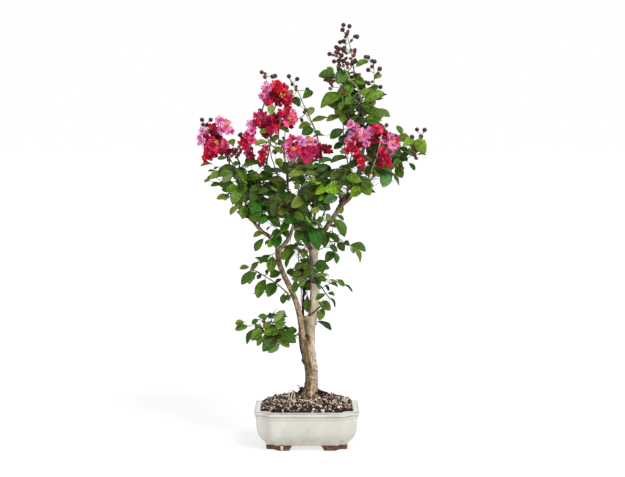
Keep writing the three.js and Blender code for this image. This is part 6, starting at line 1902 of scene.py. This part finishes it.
def petal_block(rows):
    """rows: centre, radial direction, facing, radius, rise of the blade, seed, material"""
    n_ = len(rows)
    base = np.array([r[0] for r in rows])
    rad_ = np.array([r[1] for r in rows])
    fac = np.array([r[2] for r in rows])
    R = np.array([r[3] for r in rows])[:, None, None]
    el = np.array([r[4] for r in rows])[:, None, None]
    sd = np.array([r[5] for r in rows])[:, None, None]
    side_ = np.cross(fac, rad_)
    u = PET_U[None, :, None]
    c = PET_C[None, None]
    halfw = np.interp(PET_U, [0.1, 0.20, 0.30, 0.42, 0.58, 0.76, 0.9, 1.0], [0.04, 0.06, 0.15, 0.27, 0.36, 0.38, 0.30, 0.12])[None, :, None]
    grow = np.clip((u - 0.25) / 0.75, 0, 1)
    frill = grow * R
    uu = u + (0.075 * np.sin(7.5 * c + sd * 3) + 0.06 * np.sin(13 * c - sd * 5)) * grow - 0.10 * grow * c**2
    lat = R * halfw * c * (1 + 0.22 * np.sin(11 * u + sd + 1.5 * np.sign(c)))
    hgt = frill * (0.15 * np.sin(6.5 * c + sd * 2.1 + 2.0 * u) + 0.11 * np.sin(11.5 * c - sd * 3.3 + 5 * u) + 0.10 * np.sin(9 * u + sd * 1.7 + 2 * c)) - 0.05 * R * np.sin(np.pi * u)
    arch = el - 0.55 * grow
    rr = R * uu * np.cos(el) * 1.0
    zz_ = R * (uu * np.sin(el) - 0.20 * grow**2)

    def place(hh):
        return base[:, None, None] + rad_[:, None, None] * (rr - hh * np.sin(arch) * 0.6)[..., None] + side_[:, None, None] * lat[..., None] + fac[:, None, None] * (zz_ + hh)[..., None]

    top = place(hgt)
    und = place(hgt - 0.26)[:, 1:-1, 1:-1]
    v_ = np.concatenate([top.reshape(n_, -1, 3), und.reshape(n_, -1, 3)], 1)
    off_ = (np.arange(n_) * PNV)[:, None, None]
    quads = np.concatenate([PUP[None, :, ::-1] + off_, PUN[None, :, ::-1] + off_], 1).reshape(-1, 4)
    mi = np.repeat([r[6] for r in rows], 2 * len(PUP))
    return v_.reshape(-1, 3), quads, mi


rp = np.random.RandomState(663)
petal_rows = {}
stamen_mesh, calyx_mesh = Mesh(), Mesh()
OCT_V = np.array([[1, 0, 0], [-1, 0, 0], [0, 1, 0], [0, -1, 0], [0, 0, 1], [0, 0, -1]], float)
OCT_T = np.array([[0, 2, 4], [2, 1, 4], [1, 3, 4], [3, 0, 4], [2, 0, 5], [1, 2, 5], [3, 1, 5], [0, 3, 5]])
for c, n_, R, kind, home in FLOW:
    k0 = kind[0]
    n_ = unit(n_)
    ref = unit(np.cross(n_, [0.2, 0.3, 1.0]))
    ref2 = np.cross(n_, ref)
    phase = rp.uniform(0, 6.28)
    lean = rp.uniform(0.1, 0.5)
    for j in range(6):
        a = phase + j * math.pi / 3 + rp.normal(0, 0.16)
        rd = ref * math.cos(a) + ref2 * math.sin(a)
        m_ = PM[k0][int(rp.choice(3, p=[0.45, 0.3, 0.25]))]
        petal_rows.setdefault(home, []).append((c - n_ * R * 0.30, rd, n_, R * rp.uniform(0.84, 1.14), lean + rp.normal(0, 0.22), rp.uniform(0, 6.28), m_))
    # smaller crumpled petals nearer the middle
    for j in range(4 if kind.endswith("*") else 7):
        a = rp.uniform(0, 6.28)
        rd = ref * math.cos(a) + ref2 * math.sin(a)
        m_ = PM[k0][int(rp.choice(3, p=[0.3, 0.5, 0.2]))]
        petal_rows.setdefault(home, []).append((c - n_ * R * 0.30, rd, n_, R * rp.uniform(0.55, 0.78), rp.uniform(0.7, 1.15), rp.uniform(0, 6.28), m_))
    yellow = kind.endswith("*")
    nst = 20 if yellow else 7
    for j in range(nst):
        a = rp.uniform(0, 6.28)
        sp = rp.uniform(0.05, 0.6)
        d_ = unit(n_ + (ref * math.cos(a) + ref2 * math.sin(a)) * sp)
        ln = R * rp.uniform(0.5, 0.72) if yellow else R * rp.uniform(0.4, 0.6)
        b0 = c - n_ * R * 0.30
        pth = np.array([b0, b0 + d_ * ln * 0.55, b0 + d_ * ln + np.array([0, 0, 0.4])])
        tube(stamen_mesh, pth, [0.22, 0.18, 0.15], 3, 1 if yellow else 3, False)
        an = 1.15 if yellow else 0.5
        stamen_mesh.add(pth[-1] + OCT_V * [an, an, an * 0.75], None, OCT_T, 0, 0 if yellow else 2)
    # calyx: a six lobed cup
    tops = c - n_ * R * 0.26
    foot_ = c - n_ * R * 0.42
    aa = np.arange(12) * math.pi / 6 + phase
    rim_r = np.where(np.arange(12) % 2, 2.5, 3.6)
    rim_h = np.where(np.arange(12) % 2, 0.0, 1.6)
    ringt = tops + (ref * np.cos(aa)[:, None] + ref2 * np.sin(aa)[:, None]) * rim_r[:, None] + n_ * rim_h[:, None]
    ringb = foot_ + (ref * np.cos(aa)[:, None] + ref2 * np.sin(aa)[:, None]) * 1.5
    vv = np.vstack([foot_ - n_ * 1.2, ringb, ringt, tops - n_ * 0.6])
    kk = np.arange(12)
    kn = (kk + 1) % 12
    calyx_mesh.add(vv, np.stack([1 + kk, 1 + kn, 13 + kn, 13 + kk], 1), np.vstack([np.stack([kn + 1, kk + 1, np.zeros(12, int)], 1), np.stack([13 + kk, 13 + kn, np.full(12, 25)], 1)]), 0, 0)
for home, rows_ in petal_rows.items():
    m = Mesh()
    v_, q_, mi = petal_block(rows_)
    m.add(v_, q_, None, mi)
    ob = m.build("petals_" + home.replace("blossom_", ""), petal_mats)
    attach(ob, "root")
    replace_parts(ob, home)
ob = stamen_mesh.build("stamens", [principled("anther_yellow", lin("#f2bd2e"), 0.6, 0.2), principled("filament", lin("#f0d9a0"), 0.6, 0.2), principled("anther_pale", lin("#a8562f"), 0.6, 0.2), principled("filament_red", lin("#a03452"), 0.6, 0.2)])
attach(ob, "root")
ob = calyx_mesh.build("calyxes", [principled("calyx", lin("#6d3a2c"), 0.6, 0.3)])
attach(ob, "root")

# ------------------------------------------------------------------ buds
bud_parts = {}


def bud(mesh, c, up, r, mat, long_=1.0, seed=0):
    up = unit(up)
    ref = unit(np.cross(up, [0.31, 0.2, 1.0]))
    ref2 = np.cross(up, ref)
    lat_ = np.linspace(0, math.pi, 10)[1:-1]
    lon = np.arange(18) * 2 * math.pi / 18
    rr = r * np.sin(lat_)[:, None] * (1 + 0.06 * np.cos(6 * lon)[None] * np.sin(lat_)[:, None])
    hh = -np.cos(lat_) * r * long_
    v_ = c + rr[..., None] * (ref * np.cos(lon)[None, :, None] + ref2 * np.sin(lon)[None, :, None]) + hh[:, None, None] * up
    v_ = np.vstack([v_.reshape(-1, 3), c - up * r * long_, c + up * r * long_ * 1.12])
    kk = np.arange(18)
    kn = (kk + 1) % 18
    last_ = 7 * 18
    mesh.add(v_, grid_quads(8, 18, True), np.vstack([np.stack([kn, kk, np.full(18, 144)], 1), np.stack([last_ + kk, last_ + kn, np.full(18, 145)], 1)]), mat, mat)


for kind, store in (("bud", BUD_AT), ("pod", POD_AT)):
    for c, up in store:
        home = "spire_right" if (c[0] > 96 and c[0] < 145 and c[2] > 660) else "spire" if c[2] > 690 and c[0] > 20 else "rest"
        m = bud_parts.setdefault(home, Mesh())
        if kind == "bud":
            bud(m, c, up, rb.uniform(3.8, 4.7), int(rb.randint(0, 3)), 1.0)
        else:
            bud(m, c, up, rb.uniform(2.6, 3.6), 3 + int(rb.randint(0, 2)), rb.uniform(1.0, 1.35))
bud_mats = [principled("bud_maroon", lin("#431a1a"), 0.4, 0.36), principled("bud_brown", lin("#4a261d"), 0.42, 0.35), principled("bud_dark", lin("#2f1213"), 0.4, 0.38), principled("pod_red", lin("#602724"), 0.5, 0.3), principled("pod_tan", lin("#6f4631"), 0.5, 0.3)]
for home, m in bud_parts.items():
    ob = m.build("round_buds_" + home, bud_mats)
    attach(ob, "root")
    if home == "spire":
        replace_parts(ob, "buds_spire")
    elif home == "spire_right":
        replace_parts(ob, "buds_spire_right")
